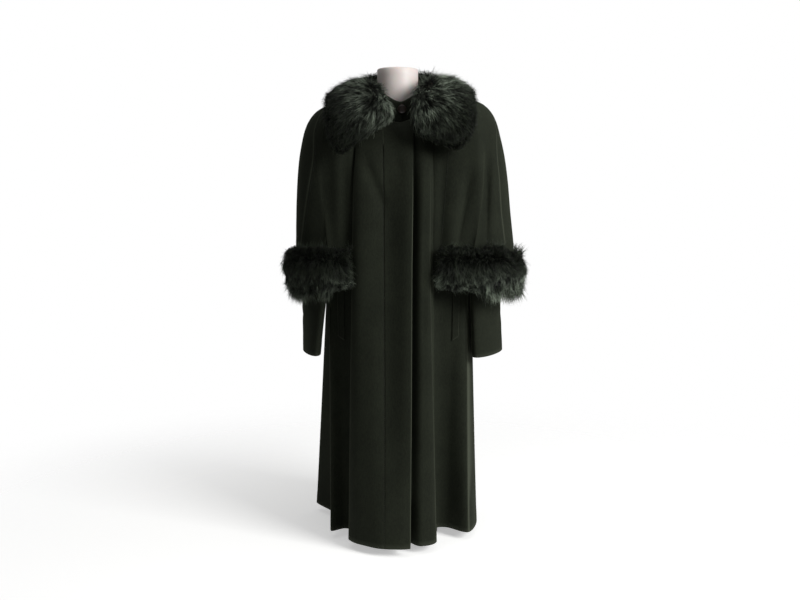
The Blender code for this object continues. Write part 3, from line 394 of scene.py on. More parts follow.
Section = namedtuple("Section", "z right left front back")
Fold = namedtuple("Fold", "name around x y starts inset")
RubAndHighlight = namedtuple("RubAndHighlight", "strength before after")
NeckPoint = namedtuple("NeckPoint", "around z")
ArmholePoint = namedtuple("ArmholePoint", "turn x y z")
body = {
    "wall": 0.0022,
    "hemZ": 0.022,
    "underarmZ": 0.880,
    "squareness": 2.4,               # 2 makes the rings oval, more makes them squarer
    "stepsPerFold": 9,
    "yokeRows": 26,
    "skirtRows": 64,
    "shoulderDepth": 0.0026,
    "seamGap": 0.0003,
    "hemTurnUp": (0.062, 0.056),     # heights between which the turned-up hem thickens the cloth
    "hemRidge": 0.0005,
    "hemRubAndHighlight": 0.6,
    "hemRubAndHighlightReach": 0.003,
    "rubAndHighlightFades": (1.02, 0.82),        # heights between which the rub and painted highlight of the folds fades in
    "rubWidens": (0.08, 0.22),       # and between which a wide one opens out from a line
    "outPower": 2.2,                 # how soon the yoke comes out from the shoulder
    "downPower": 1.4,                # and how late it goes down
    "neckAngle": {"front": 22.0, "back": 34.0},
    "neck": {"halfWidth": 0.076, "front": 0.100, "back": 0.072},
    "sections": [
        Section(0.022, 0.190, 0.172, 0.160, 0.150),
        Section(0.550, 0.190, 0.176, 0.158, 0.140),
        Section(0.720, 0.190, 0.178, 0.155, 0.130),
        Section(0.880, 0.190, 0.190, 0.155, 0.135),
    ],
    "folds": [
        Fold("right_front_edge", 6.6, 0.026, -0.192, 0.98, 0.0),
        Fold("centre_front", 0.0, -0.006, -0.196, 0.98, 0.0),
        Fold("right_panel", -16.0, -0.066, -0.184, 1.00, 0.0),
        Fold("right_pleat_edge", -31.0, -0.131, -0.124, 1.06, 0.0),
        Fold("right_pleat_back", -34.0, -0.106, -0.068, 1.06, 0.0),
        Fold("right_pocket_panel", -50.0, -0.144, -0.044, 0.98, 0.0),
        Fold("right_front_ridge", -68.0, -0.182, -0.060, 0.97, 0.0),
        Fold("right_side_seam", -90.0, -0.166, 0.050, 0.95, 0.0),
        Fold("right_back_ridge", -112.0, -0.238, 0.170, 0.93, 0.0),
        Fold("right_back_trough", -126.0, -0.168, 0.172, 0.93, 0.0),
        Fold("back_ridge_1", -142.0, -0.150, 0.240, 0.95, 0.0),
        Fold("back_trough_1", -157.0, -0.074, 0.186, 0.95, 0.0),
        Fold("back_ridge_2", -172.0, -0.030, 0.248, 0.95, 0.0),
        Fold("back_trough_2", -187.0, 0.028, 0.192, 0.95, 0.0),
        Fold("back_ridge_3", -202.0, 0.084, 0.244, 0.95, 0.0),
        Fold("left_back_trough", -220.0, 0.108, 0.172, 0.93, 0.0),
        Fold("left_back_ridge", -240.0, 0.184, 0.186, 0.93, 0.0),
        Fold("left_side_trough", -256.0, 0.158, 0.098, 0.93, 0.0),
        Fold("left_side_seam", -270.0, 0.207, 0.036, 0.95, 0.0),
        Fold("left_front_ridge", -292.0, 0.180, -0.072, 0.97, 0.0),
        Fold("left_pocket_panel", -320.0, 0.122, -0.036, 0.98, 0.0),
        Fold("left_pleat_back", -336.0, 0.090, -0.052, 1.06, 0.0),
        Fold("left_pleat_edge", -341.6, 0.092, -0.146, 0.96, 0.0),
        Fold("left_panel", -346.0, 0.056, -0.175, 1.00, 0.001),
        Fold("left_underlap", -354.4, 0.022, -0.186, 0.98, 0.005),
        Fold("left_centre", -360.0, -0.006, -0.192, 0.98, 0.005),
        Fold("left_front_edge", -369.0, -0.040, -0.191, 0.98, 0.005),
    ],
    "neckRound": 14.0,               # degrees over which the dip of the neckline is rounded
    "neckline": [NeckPoint(0.0, 1.064), NeckPoint(45.0, 1.100), NeckPoint(90.0, 1.134),
                 NeckPoint(180.0, 1.146)],
    "armhole": [
        ArmholePoint(0.0, 0.195, 0.005, 1.078),
        ArmholePoint(45.0, 0.178, -0.045, 1.035),
        ArmholePoint(90.0, 0.166, -0.072, 0.965),
        ArmholePoint(135.0, 0.174, -0.048, 0.910),
        ArmholePoint(180.0, 0.190, 0.000, 0.880),
        ArmholePoint(225.0, 0.178, 0.052, 0.912),
        ArmholePoint(270.0, 0.171, 0.072, 0.972),
        ArmholePoint(315.0, 0.180, 0.054, 1.035),
    ],
    "panels": {
        "front_right": ("right_front_edge", "right_side_seam", "front"),
        "front_left": ("left_side_seam", "left_front_edge", "front"),
        "back": ("right_side_seam", "left_side_seam", "back"),
    },
    # folds painted paler along their edge, partly rubbed and partly a painted highlight of the edge catching
    # the light, how strongly, and how far before and after it in rows; the wide reach on left_front_ridge
    # paints the highlight of its lit side
    "rubbedAndLit": {"right_front_edge": RubAndHighlight(0.9, 0.05, 0.05), "right_pleat_edge": RubAndHighlight(0.35, 0.05, 0.05),
               "right_front_ridge": RubAndHighlight(0.4, 0.05, 0.05), "left_pleat_edge": RubAndHighlight(0.4, 0.05, 0.05),
               "left_front_ridge": RubAndHighlight(1.3, 0.24, 0.05), "right_back_ridge": RubAndHighlight(0.3, 0.05, 0.05),
               "back_ridge_1": RubAndHighlight(0.3, 0.05, 0.05), "back_ridge_2": RubAndHighlight(0.3, 0.05, 0.05),
               "back_ridge_3": RubAndHighlight(0.3, 0.05, 0.05), "left_back_ridge": RubAndHighlight(0.3, 0.05, 0.05)},
    "flyRow": 1.58,
    "flyGroove": (0.0006, 0.035),    # depth, and half width in rows
    "flyFades": (1.03, 1.00),
    "creases": [
        Crease("front", -0.086, 0.985, -0.038, 0.855, 0.012, 0.0070),
        Crease("front", -0.012, 1.010, 0.004, 0.930, 0.010, 0.0022),
        Crease("front", -0.060, 0.800, -0.070, 0.560, 0.020, 0.0030),
        Crease("front", -0.032, 1.060, -0.038, 0.160, 0.032, 0.0130),
        Crease("front", 0.062, 0.860, 0.058, 0.480, 0.012, 0.0030),
        Crease("front", -0.098, 1.080, -0.114, -0.080, 0.018, -0.0050),
        Crease("front", 0.150, 0.520, 0.140, 0.180, 0.020, -0.0030),
        Crease("back", -0.060, 0.980, -0.020, 0.840, 0.020, 0.0035),
        Crease("back", 0.070, 0.960, 0.030, 0.820, 0.020, 0.0035),
        Crease("back", 0.120, 0.600, 0.130, 0.300, 0.018, 0.0030),
        Crease("back", -0.110, 0.560, -0.120, 0.260, 0.018, 0.0030),
    ],
    # the right front's edge stands a little forward, and the left front falls away beside it
    "ownCreases": {"front_right": [Crease("front", 0.028, 1.000, 0.026, 0.160, 0.024, -0.0090)],
                   "front_left": [Crease("front", 0.029, 1.080, 0.031, -0.040, 0.015, 0.0250),
                                  Crease("front", 0.031, 0.130, 0.030, -0.160, 0.013, 0.0300)]},
}


# rows of a fold table on either side of a line, at which finer columns stand
fineSteps = np.array([-0.075, -0.05, -0.025, 0.0, 0.025, 0.05, 0.075])


def ringPoint(sections, squareness, around, z):
    angle = np.radians(around)
    across = np.sign(np.sin(angle)) * np.abs(np.sin(angle)) ** (2.0 / squareness)
    forward = np.sign(np.cos(angle)) * np.abs(np.cos(angle)) ** (2.0 / squareness)
    right, left = atHeight(sections, "right", z), atHeight(sections, "left", z)
    front, back = atHeight(sections, "front", z), atHeight(sections, "back", z)
    return across * np.where(across < 0, right, left), -forward * np.where(forward > 0, front, back)


def bodyPoints(rows, z):
    folds = body["folds"]
    starts = betweenRows(folds, "starts", rows)
    x, y = ringPoint(body["sections"], body["squareness"], betweenRows(folds, "around", rows), z)
    hem = curveThrough([(fold.x, fold.y) for fold in folds], rows)
    fall = np.clip((starts - z) / (starts - body["hemZ"]), 0.0, 1.0)
    x = x + (hem[..., 0] - x) * fall
    y = y + (hem[..., 1] - y) * fall
    return np.stack([x, y, np.broadcast_to(z, x.shape)], axis=-1)


def necklinePoints(around):
    neck = body["neck"]
    angle = np.radians(around)
    fromFront = np.abs((np.asarray(around) + 180.0) % 360.0 - 180.0)
    depth = np.where(np.cos(angle) > 0, neck["front"], neck["back"])
    rounded = np.hypot(fromFront, body["neckRound"])
    z = np.interp(rounded, column(body["neckline"], "around"), column(body["neckline"], "z"))
    return np.stack([neck["halfWidth"] * np.sin(angle), -depth * np.cos(angle), z], axis=-1)


def armholePoints(turn):
    # the loop of the left armhole, with rows from either end repeated so that its curve runs on
    armhole = body["armhole"]
    loop = armhole[-2:] + armhole + armhole[:3]
    rows = np.mod(turn, 360.0) / (armhole[1].turn - armhole[0].turn) + 2.0
    return curveThrough([(row.x, row.y, row.z) for row in loop], rows)


def upperPoints(rows, yoke, share):
    # the yoke, a patch between the neckline and shoulder, the underarm line and the armhole
    around = betweenRows(body["folds"], "around", rows)
    signed = (around + 180.0) % 360.0 - 180.0
    angle = np.abs(signed) if yoke == "front" else 180.0 - np.abs(signed)
    side = np.where(signed > 0, 1.0, -1.0)
    neckAngle = body["neckAngle"][yoke]
    alongNeck = np.minimum(angle / neckAngle, 1.0) * 90.0
    neck = necklinePoints(side * (alongNeck if yoke == "front" else 180.0 - alongNeck))
    sides = np.column_stack([side, np.ones(len(side)), np.ones(len(side))])
    tip = armholePoints(np.array([0.0]))[0] * sides
    top = neck + (tip - neck) * np.clip((angle - neckAngle) / (90.0 - neckAngle), 0.0, 1.0)[:, None]
    bottom = bodyPoints(rows, np.full(rows.shape, body["underarmZ"]))
    out = 1.0 - (1.0 - share) ** body["outPower"]
    blend = np.column_stack([out, out, share ** body["downPower"]])
    patch = (1 - blend[:, None]) * top + blend[:, None] * bottom
    seam = armholePoints(180.0 * share if yoke == "front" else 360.0 - 180.0 * share)
    bulge = seam - (1 - blend) * seam[0] - blend * seam[-1]
    return patch + bulge[:, None] * sides * ((angle / 90.0)[:, None]) ** 2


def fineRows(first, last, steps, places):
    # even rows between two folds, with finer ones beside the places where a line runs
    rows = np.linspace(first, last, (last - first) * steps + 1)
    near = (np.array(places)[:, None] + fineSteps).reshape(-1)
    near = near[(near > first) & (near < last)]
    return np.unique(np.concatenate([rows, near]).round(5))


def panelRows(start, end):
    first, last = rowNumber(body["folds"], start), rowNumber(body["folds"], end)
    rubbedAndLit = [rowNumber(body["folds"], name) for name in body["rubbedAndLit"]]
    return fineRows(first, last, body["stepsPerFold"], rubbedAndLit + [body["flyRow"]])


def bodyRubAndHighlight(rows, grid):
    # paler lines along the folds and the hem: partly rub, partly painted highlight of edges catching the light
    z = grid[..., 2]
    rub = np.zeros(z.shape)
    for name, rubbedAndLit in body["rubbedAndLit"].items():
        past = rows - rowNumber(body["folds"], name)
        before = rubbedAndLit.after + (rubbedAndLit.before - rubbedAndLit.after) * fade(z, *body["rubWidens"])
        line = np.exp(-(past / np.where(past < 0.0, before, rubbedAndLit.after)) ** 2)
        rub += rubbedAndLit.strength * line * fade(z, *body["rubAndHighlightFades"])
    return rub + body["hemRubAndHighlight"] * np.exp(-((z - body["hemZ"]) / body["hemRubAndHighlightReach"]) ** 2)


def drawnIn(grid, start, end):
    # edges at a side seam stop half a seam gap short of it
    grid = grid.copy()
    half = body["seamGap"] / 2
    if start.endswith("side_seam"):
        grid[:, 0] += half * unit(grid[:, 1] - grid[:, 0])
    if end.endswith("side_seam"):
        grid[:, -1] += half * unit(grid[:, -2] - grid[:, -1])
    return grid


def panelGrids(node):
    start, end, yoke = body["panels"][node]
    rows = panelRows(start, end)
    upper = upperPoints(rows, yoke, np.linspace(0.0, 1.0, body["yokeRows"]))
    heights = np.linspace(body["underarmZ"], body["hemZ"], body["skirtRows"])
    grid = np.concatenate([upper[:-1], bodyPoints(*np.meshgrid(rows, heights))])
    normal = facingOut(gridNormals(grid), grid)
    grid = pressCreases(grid, normal, body["creases"] + body["ownCreases"].get(node, []))
    turnUp = fade(grid[..., 2], *body["hemTurnUp"]) * body["hemRidge"]
    depth, reach = body["flyGroove"]
    groove = depth * np.exp(-((rows - body["flyRow"]) / reach) ** 2) * fade(grid[..., 2], *body["flyFades"])
    inset = betweenRows(body["folds"], "inset", rows)[None, :]
    outer = grid + normal * (turnUp - groove - inset)[..., None]
    inner = outer - normal * body["wall"]
    inner[0] = outer[0] - np.array([0.0, 0.0, body["shoulderDepth"]])
    return rows, drawnIn(outer, start, end), drawnIn(inner, start, end)


def makeBody():
    for node in body["panels"]:
        rows, outer, inner = panelGrids(node)
        clothPiece(node + "_cloth", node, outer, inner, bodyRubAndHighlight(rows, outer), "hung")
    print("coat body made")


# Sleeves: flat ovals that hang from the armhole, their front ends turned in

SleeveRing = namedtuple("SleeveRing", "z x y halfLong halfShort turn")
sleeves = {
    "columns": 48,
    "capRows": 18,
    "lowerRows": 34,
    "capBend": 0.72,
    "armholeOffset": 0.0030,
    "cuffTurnUp": (0.035, 0.029),    # above the cuff, where the turned-up edge thickens the cloth
    "cuffRidge": 0.0005,
    "cuffRubAndHighlight": 0.5,
    "cuffRubAndHighlightReach": 0.003,
    "right": (-1, [SleeveRing(0.820, -0.222, 0.000, 0.072, 0.022, 18.0),
                   SleeveRing(0.660, -0.222, -0.024, 0.080, 0.020, 26.0),
                   SleeveRing(0.490, -0.2305, -0.014, 0.075, 0.020, 14.0)]),
    "left": (1, [SleeveRing(0.820, 0.227, 0.000, 0.072, 0.024, -20.0),
                 SleeveRing(0.660, 0.221, -0.014, 0.085, 0.025, -27.0),
                 SleeveRing(0.487, 0.2285, -0.014, 0.086, 0.026, -26.0)]),
    "creases": [
        Crease("front", -0.245, 0.640, -0.205, 0.600, 0.010, 0.0022),
        Crease("front", 0.210, 0.650, 0.255, 0.610, 0.010, 0.0022),
        Crease("front", 0.225, 0.600, 0.250, 0.530, 0.012, 0.0016),
        Crease("right", -0.040, 0.660, 0.040, 0.610, 0.010, 0.0025),
        Crease("right", 0.050, 0.600, -0.010, 0.560, 0.010, 0.0020),
        Crease("left", -0.040, 0.650, 0.040, 0.600, 0.010, 0.0025),
        Crease("left", 0.050, 0.590, -0.010, 0.550, 0.010, 0.0020),
    ],
}


def armholeEdge(turns, side):
    name = "right_side_seam" if side < 0 else "left_side_seam"
    row = np.array([float(rowNumber(body["folds"], name))])
    share = np.linspace(0.0, 1.0, body["yokeRows"])
    front, back = upperPoints(row, "front", share)[:, 0], upperPoints(row, "back", share)[:, 0]
    loop = np.concatenate([front, back[-2::-1]])
    known = np.linspace(0.0, 360.0, len(loop))
    return np.stack([np.interp(turns, known, loop[:, axis]) for axis in range(3)], axis=-1)


def sleeveRing(ring, turns, side):
    turn = np.radians(ring.turn)
    front = np.array([np.sin(turn), -np.cos(turn)])
    out = np.array([side * np.cos(turn), side * np.sin(turn)])
    angle = np.radians(turns)[:, None]
    around = np.cos(angle) * ring.halfShort * out + np.sin(angle) * ring.halfLong * front
    return np.column_stack([np.array([ring.x, ring.y]) + around, np.full(len(turns), ring.z)])


def makeSleeve(sideName):
    side, table = sleeves[sideName]
    turns = np.linspace(0.0, 360.0, sleeves["columns"] + 1)
    armhole = armholeEdge(turns, side)
    armhole[:, 0] += side * sleeves["armholeOffset"]
    biceps = sleeveRing(table[0], turns, side)
    bend = biceps.copy()
    bend[:, 2] += sleeves["capBend"] * (armhole[:, 2] - biceps[:, 2])
    rings = []
    for share in np.linspace(0.0, 1.0, sleeves["capRows"]):
        rings.append((1 - share) ** 2 * armhole + 2 * share * (1 - share) * bend + share**2 * biceps)
    for number in np.linspace(0.0, len(table) - 1, sleeves["lowerRows"])[1:]:
        values = [betweenRows(table, name, number) for name in SleeveRing._fields]
        rings.append(sleeveRing(SleeveRing(*values), turns, side))
    grid = np.array(rings)
    normal = facingOut(gridNormals(grid, wrapped=True), grid, (table[1].x, table[1].y))
    grid = pressCreases(grid, normal, sleeves["creases"])
    fromCuff = grid[..., 2] - table[-1].z
    turnUp = fade(fromCuff, *sleeves["cuffTurnUp"]) * sleeves["cuffRidge"]
    outer = grid + normal * turnUp[..., None]
    # a paler line at the cuff's edge: partly rub, partly painted highlight
    rub = sleeves["cuffRubAndHighlight"] * np.exp(-(fromCuff / sleeves["cuffRubAndHighlightReach"]) ** 2)
    node = f"sleeve_{sideName}"
    clothPiece(node + "_cloth", node, outer, outer - normal * body["wall"], rub, "hung", wrapped=True)
    print(sideName, "sleeve made")


# Cape: rings over the shoulders, folds at its hem, its front edges sewn into the front pleats

CapeFold = namedtuple("CapeFold", "name around x y starts drop")
CapeSeam = namedtuple("CapeSeam", "z right left")
cape = {
    "squareness": 2.8,
    "stepsPerFold": 9,
    "rowsPerSection": 5,
    "tilt": 0.036,                   # the left shoulder sits a little higher
    "dropTop": 1.050,
    "edgeFades": (1.100, 1.040),     # heights between which the front edges are drawn into the pleats
    "edgeReach": 1.3,
    # each front edge lies off the inside of its pleat, at a share of the way from the pleat's back
    "edgeClearance": 0.0022,
    "edgeShare": {"right": 0.60, "left": 0.55},
    "seamReach": 3.4,                # rows over which the cloth beside a moved seam follows it
    "seamRidge": 0.0009,
    "ridgeReach": 0.05,
    # paler lines beside the side seams and along the front edges: painted highlight of the seam ridges
    # catching the light, partly rub
    "seamRubAndHighlight": 0.65,
    "edgeRubAndHighlight": 0.4,
    "sections": [
        Section(1.148, 0.088, 0.088, 0.088, 0.094),
        Section(1.138, 0.140, 0.140, 0.102, 0.110),
        Section(1.126, 0.186, 0.186, 0.116, 0.124),
        Section(1.108, 0.218, 0.221, 0.132, 0.138),
        Section(1.070, 0.241, 0.245, 0.152, 0.156),
        Section(1.005, 0.255, 0.260, 0.170, 0.175),
        Section(0.930, 0.262, 0.268, 0.176, 0.187),
        Section(0.855, 0.266, 0.272, 0.176, 0.196),
        Section(0.775, 0.268, 0.287, 0.176, 0.203),
        Section(0.700, 0.270, 0.297, 0.176, 0.208),
    ],
    "folds": [
        CapeFold("right_edge", -33.0, -0.116, -0.120, 1.06, 0.000),
        CapeFold("right_trough", -44.0, -0.146, -0.126, 1.06, 0.000),
        CapeFold("right_ridge", -56.0, -0.180, -0.136, 1.06, 0.008),
        CapeFold("right_side_trough", -73.0, -0.238, -0.086, 1.04, 0.026),
        CapeFold("right_side_seam", -90.0, -0.270, -0.010, 1.04, 0.032),
        CapeFold("right_back_ridge", -112.0, -0.266, 0.090, 1.04, 0.034),
        CapeFold("right_back_fall", -130.0, -0.204, 0.162, 1.02, 0.032),
        CapeFold("back_trough_1", -146.0, -0.136, 0.182, 1.02, 0.030),
        CapeFold("back_ridge_1", -160.0, -0.076, 0.222, 1.02, 0.030),
        CapeFold("back_trough_2", -176.0, -0.006, 0.200, 1.02, 0.030),
        CapeFold("back_ridge_2", -192.0, 0.066, 0.224, 1.02, 0.030),
        CapeFold("back_trough_3", -208.0, 0.134, 0.186, 1.02, 0.030),
        CapeFold("left_back_fall", -226.0, 0.216, 0.168, 1.02, 0.032),
        CapeFold("left_back_ridge", -248.0, 0.287, 0.090, 1.04, 0.036),
        CapeFold("left_side_seam", -270.0, 0.298, -0.010, 1.04, 0.036),
        CapeFold("left_side_ridge", -286.0, 0.262, -0.088, 1.04, 0.028),
        CapeFold("left_ridge", -296.0, 0.206, -0.134, 1.06, 0.016),
        CapeFold("left_trough", -307.0, 0.162, -0.116, 1.06, 0.008),
        CapeFold("left_front_ridge", -321.0, 0.120, -0.146, 1.06, 0.000),
        CapeFold("left_edge", -337.0, 0.078, -0.124, 1.06, 0.000),
    ],
    "seams": [CapeSeam(0.700, 0.1, 0.75), CapeSeam(0.800, 0.7, 1.12), CapeSeam(0.930, 1.4, 1.58),
              CapeSeam(1.005, 1.8, 1.88), CapeSeam(1.070, 1.8, 1.4), CapeSeam(1.148, 1.6, 0.8)],
    "parts": {
        "cape_front_right": ("right_edge", "right_side_seam"),
        "cape_back": ("right_side_seam", "left_side_seam"),
        "cape_front_left": ("left_side_seam", "left_edge"),
    },
    "creases": [
        Crease("front", -0.192, 1.100, -0.198, 0.640, 0.048, 0.0230),
        Crease("front", -0.160, 1.020, -0.156, 0.740, 0.011, -0.0020),
        Crease("front", -0.134, 1.060, -0.132, 0.680, 0.011, 0.0040),
        Crease("front", 0.107, 1.000, 0.098, 0.720, 0.010, 0.0060),
        Crease("front", 0.170, 0.945, 0.144, 0.735, 0.010, 0.0150),
        Crease("front", 0.194, 1.020, 0.182, 0.720, 0.013, -0.0150),
        Crease("front", 0.214, 1.000, 0.216, 0.720, 0.011, 0.0070),
        Crease("back", -0.040, 1.060, -0.050, 0.800, 0.020, 0.0045),
        Crease("back", 0.040, 1.030, 0.050, 0.760, 0.018, -0.0040),
        Crease("back", -0.150, 1.000, -0.170, 0.760, 0.018, 0.0045),
        Crease("back", 0.160, 1.010, 0.180, 0.770, 0.018, 0.0045),
        Crease("right", 0.040, 1.000, 0.050, 0.760, 0.018, 0.0045),
        Crease("left", 0.050, 0.990, 0.040, 0.760, 0.018, 0.0045),
    ],
}


def finerRows(table, steps):
    # the same table with soft curves between its rows
    levels = np.linspace(0, len(table) - 1, (len(table) - 1) * steps + 1)
    return [type(table[0])(*row) for row in curveThrough(np.array(table), levels)]


cape["rings"] = finerRows(cape["sections"], cape["rowsPerSection"])
cape["seamLine"] = finerRows(cape["seams"], cape["rowsPerSection"])


def pleatLine(name):
    row = np.array([float(rowNumber(body["folds"], name))])
    upper = upperPoints(row, "front", np.linspace(0.0, 1.0, body["yokeRows"]))[:, 0]
    heights = np.linspace(body["underarmZ"], body["hemZ"], body["skirtRows"])[1:]
    lower = bodyPoints(np.full(heights.shape, row[0]), heights)
    return np.concatenate([upper, lower])[::-1]


def atLine(line, z):
    return np.stack([np.interp(z, line[:, 2], line[:, axis]) for axis in (0, 1)], axis=-1)


def capePoints(rows, z):
    folds = cape["folds"]
    hemZ = cape["rings"][-1].z
    starts, drop = betweenRows(folds, "starts", rows), betweenRows(folds, "drop", rows)
    x, y = ringPoint(cape["rings"], cape["squareness"], betweenRows(folds, "around", rows), z)
    hem = curveThrough([(fold.x, fold.y) for fold in folds], rows)
    fall = np.maximum((starts - z) / (starts - hemZ), 0.0)
    x = x + (hem[..., 0] - x) * fall
    y = y + (hem[..., 1] - y) * fall
    fromTop = (cape["dropTop"] - z) / (cape["dropTop"] - hemZ)
    lowered = z - drop * np.maximum(fromTop, 0.0) + cape["tilt"] * x * np.clip(1.0 - fromTop, 0.0, 1.0)
    points = np.stack([x, y, lowered], axis=-1)
    for sideName, edgeRow in (("right", 0), ("left", len(folds) - 1)):
        lines = [pleatLine(f"{sideName}_pleat_{part}") for part in ("back", "edge")]
        back, edge = (atLine(line, points[..., 2]) for line in lines)
        off = unit(np.stack([edge[..., 1] - back[..., 1], back[..., 0] - edge[..., 0]], axis=-1))
        off *= np.sign((off * back).sum(axis=-1, keepdims=True))
        anchor = back + (edge - back) * cape["edgeShare"][sideName] + off * cape["edgeClearance"]
        near = smoothStep(1.0 - np.abs(rows - edgeRow) / cape["edgeReach"])
        low = fade(points[..., 2], *cape["edgeFades"])
        points[..., :2] += (anchor - points[..., :2]) * (near * low)[..., None]
    return points


def seamRows(rows, z):
    moved = rows
    for name, side, forward in (("right_side_seam", "right", -1.0), ("left_side_seam", "left", 1.0)):
        near = np.clip(1.0 - np.abs(rows - rowNumber(cape["folds"], name)) / cape["seamReach"], 0.0, 1.0)
        moved = moved + forward * atHeight(cape["seamLine"], side, z) * near
    return moved


def capeRows():
    last = len(cape["folds"]) - 1
    seams = [rowNumber(cape["folds"], name) for name in ("right_side_seam", "left_side_seam")]
    return fineRows(0, last, cape["stepsPerFold"], seams + [0, last])


def capeGrids():
    whole = capeRows()
    rows, z = np.meshgrid(whole, column(cape["rings"], "z"))
    grid = capePoints(seamRows(rows, z), z)
    normal = facingOut(gridNormals(grid), grid)
    grid = pressCreases(grid, normal, cape["creases"])
    ridge = np.zeros(grid.shape[:2])
    for name in ("right_side_seam", "left_side_seam"):
        ridge += np.exp(-((whole - rowNumber(cape["folds"], name)) / cape["ridgeReach"]) ** 2)
    outer = grid + normal * (cape["seamRidge"] * ridge)[..., None]
    edges = sum(np.exp(-((whole - end) / cape["ridgeReach"]) ** 2) for end in (whole[0], whole[-1]))
    # painted highlight along the seam ridges and paler front edges, partly rub
    rub = np.clip(cape["seamRubAndHighlight"] * ridge + cape["edgeRubAndHighlight"] * edges, 0.0, 1.0)
    return outer, outer - normal * body["wall"], np.broadcast_to(rub, ridge.shape)


def makeCape():
    outer, inner, rub = capeGrids()
    rows = capeRows()
    for node, (start, end) in cape["parts"].items():
        first, last = (int(np.searchsorted(rows, rowNumber(cape["folds"], name))) for name in (start, end))
        grids = [drawnIn(grid[:, first:last + 1], start, end) for grid in (outer, inner)]
        clothPiece(node + "_cloth", node, *grids, rub[:, first:last + 1], "hung")
    print("cape made")


# Stand of the collar and its button

neckBand = {
    "halfWidth": 0.066, "front": 0.094, "back": 0.070, "heightFront": 0.046, "heightBack": 0.026,
    "lean": 0.006, "rise": 0.004, "columns": 120, "rows": 12, "ends": (-9.0, 362.6), "wall": 0.0026,
    "underSeam": 0.40, "topRubAndHighlight": 0.4,
    "lapFades": (14.0, 4.0), "lapDepth": 0.0048,  # degrees where the end underneath is drawn in, how far
}
ButtonEdge = namedtuple("ButtonEdge", "reach lift")
neckButton = {
    "radius": 0.0105, "depth": 0.0045, "x": 0.005, "drop": 0.019, "shank": 0.0016, "sides": 48,
    "profile": [ButtonEdge(0.0, 0.0), ButtonEdge(0.80, 0.0), ButtonEdge(0.93, 0.10), ButtonEdge(1.0, 0.30),
                ButtonEdge(1.0, 0.58), ButtonEdge(0.97, 0.84), ButtonEdge(0.90, 1.0), ButtonEdge(0.82, 0.97),
                ButtonEdge(0.76, 0.80), ButtonEdge(0.68, 0.66), ButtonEdge(0.45, 0.64),
                ButtonEdge(0.20, 0.70), ButtonEdge(0.0, 0.72)],
}


def bandPoints(around, rise):
    angle = np.radians(around)
    seam = necklinePoints(around)
    # the end that lies underneath is drawn in, and the part below the seam goes straight down
    inward = neckBand["lean"] * np.maximum(rise, 0.0)
    inward = inward + neckBand["lapDepth"] * fade(np.asarray(around), *neckBand["lapFades"])
    depth = np.where(np.cos(angle) > 0, neckBand["front"], neckBand["back"]) - inward
    width = neckBand["halfWidth"] - inward
    forward = 0.5 + 0.5 * np.cos(angle)
    height = neckBand["heightBack"] + (neckBand["heightFront"] - neckBand["heightBack"]) * forward
    z = seam[..., 2] + neckBand["rise"] + height * rise
    return np.stack([width * np.sin(angle), -depth * np.cos(angle), z], axis=-1)


def makeNeckBand():
    around = np.linspace(*neckBand["ends"], neckBand["columns"])
    rises = np.linspace(-neckBand["underSeam"], 1.0, neckBand["rows"])
    outer = np.array([bandPoints(around, rise) for rise in rises])
    normal = facingOut(gridNormals(outer), outer)
    rub = np.zeros(outer.shape[:2])
    # its top edge painted paler: partly rub, partly painted highlight
    rub[-1] = neckBand["topRubAndHighlight"]
    clothPiece("neck_band_cloth", "neck_band", outer, outer - normal * neckBand["wall"], rub, "stretched",
               restsOn=("front_right", "front_left", "back"))


def makeButton():
    around = 360.0 + np.degrees(np.arcsin(neckButton["x"] / neckBand["halfWidth"]))
    front = bandPoints(np.array([around]), 1.0 - neckButton["drop"] / neckBand["heightFront"])[0]
    mesh = bpy.data.meshes.new("neck_button_horn")
    shape = bmesh.new()
    last = None
    for edge in neckButton["profile"]:
        point = shape.verts.new(front + np.array([neckButton["radius"] * edge.reach, 0.0, 0.0])
                                - np.array([0.0, neckButton["shank"] + neckButton["depth"] * edge.lift, 0.0]))
        if last is not None:
            shape.edges.new((last, point))
        last = point
    bmesh.ops.spin(shape, geom=shape.verts[:] + shape.edges[:], cent=front, axis=(0, 1, 0), angle=2 * math.pi,
                   steps=neckButton["sides"], use_merge=True)
    bmesh.ops.remove_doubles(shape, verts=shape.verts, dist=1e-6)
    bmesh.ops.recalc_face_normals(shape, faces=shape.faces)
    shape.to_mesh(mesh)
    shape.free()
    addPiece("neck_button_horn", mesh, horn, "neck_button")
    print("neck band and button made")


# Pocket welts, laid on the panels

Welt = namedtuple("Welt", "row shift halfRows")
welts = {"length": 0.160, "depth": 0.0020, "bottomZ": 0.530, "slant": 0.010, "lift": 0.0012,
         "columns": 12, "rows": 40, "sideRubAndHighlight": 0.25, "endRubAndHighlight": 0.35,
         "right": Welt("right_pocket_panel", 0.0, 0.22), "left": Welt("left_pocket_panel", -0.34, 0.14)}


def makeWelt(sideName):
    welt = welts[sideName]
    middle = rowNumber(body["folds"], welt.row) + welt.shift
    rows = np.linspace(middle - welt.halfRows, middle + welt.halfRows, welts["columns"])
    heights = np.linspace(welts["bottomZ"] + welts["length"], welts["bottomZ"], welts["rows"])
    rowGrid, zGrid = np.meshgrid(rows, heights)
    slant = np.linspace(0.0, welts["slant"], welts["columns"])
    base = bodyPoints(rowGrid, zGrid + (slant if sideName == "right" else slant[::-1]))
    normal = facingOut(gridNormals(base), base)
    outer = base + normal * (welts["lift"] + welts["depth"])
    rub = np.zeros(outer.shape[:2])
    # the welt's sides and lower end painted paler: partly rub, partly painted highlight of its edges
    rub[:, [0, -1]] = welts["sideRubAndHighlight"]
    rub[-1] = welts["endRubAndHighlight"]
    node = f"pocket_welt_{sideName}"
    clothPiece(node + "_cloth", node, outer, base + normal * welts["lift"], rub, "stretched",
               restsOn=(f"front_{sideName}",))
    print(sideName, "pocket welt made")


# Fur: hair on a shrunken core of each fur solid, by a node tree

PartingPoint = namedtuple("PartingPoint", "x y z")
# how far the tips stand beyond the solid on its top, its sides and below, and how much less at its corners
Reach = namedtuple("Reach", "top side low corner")
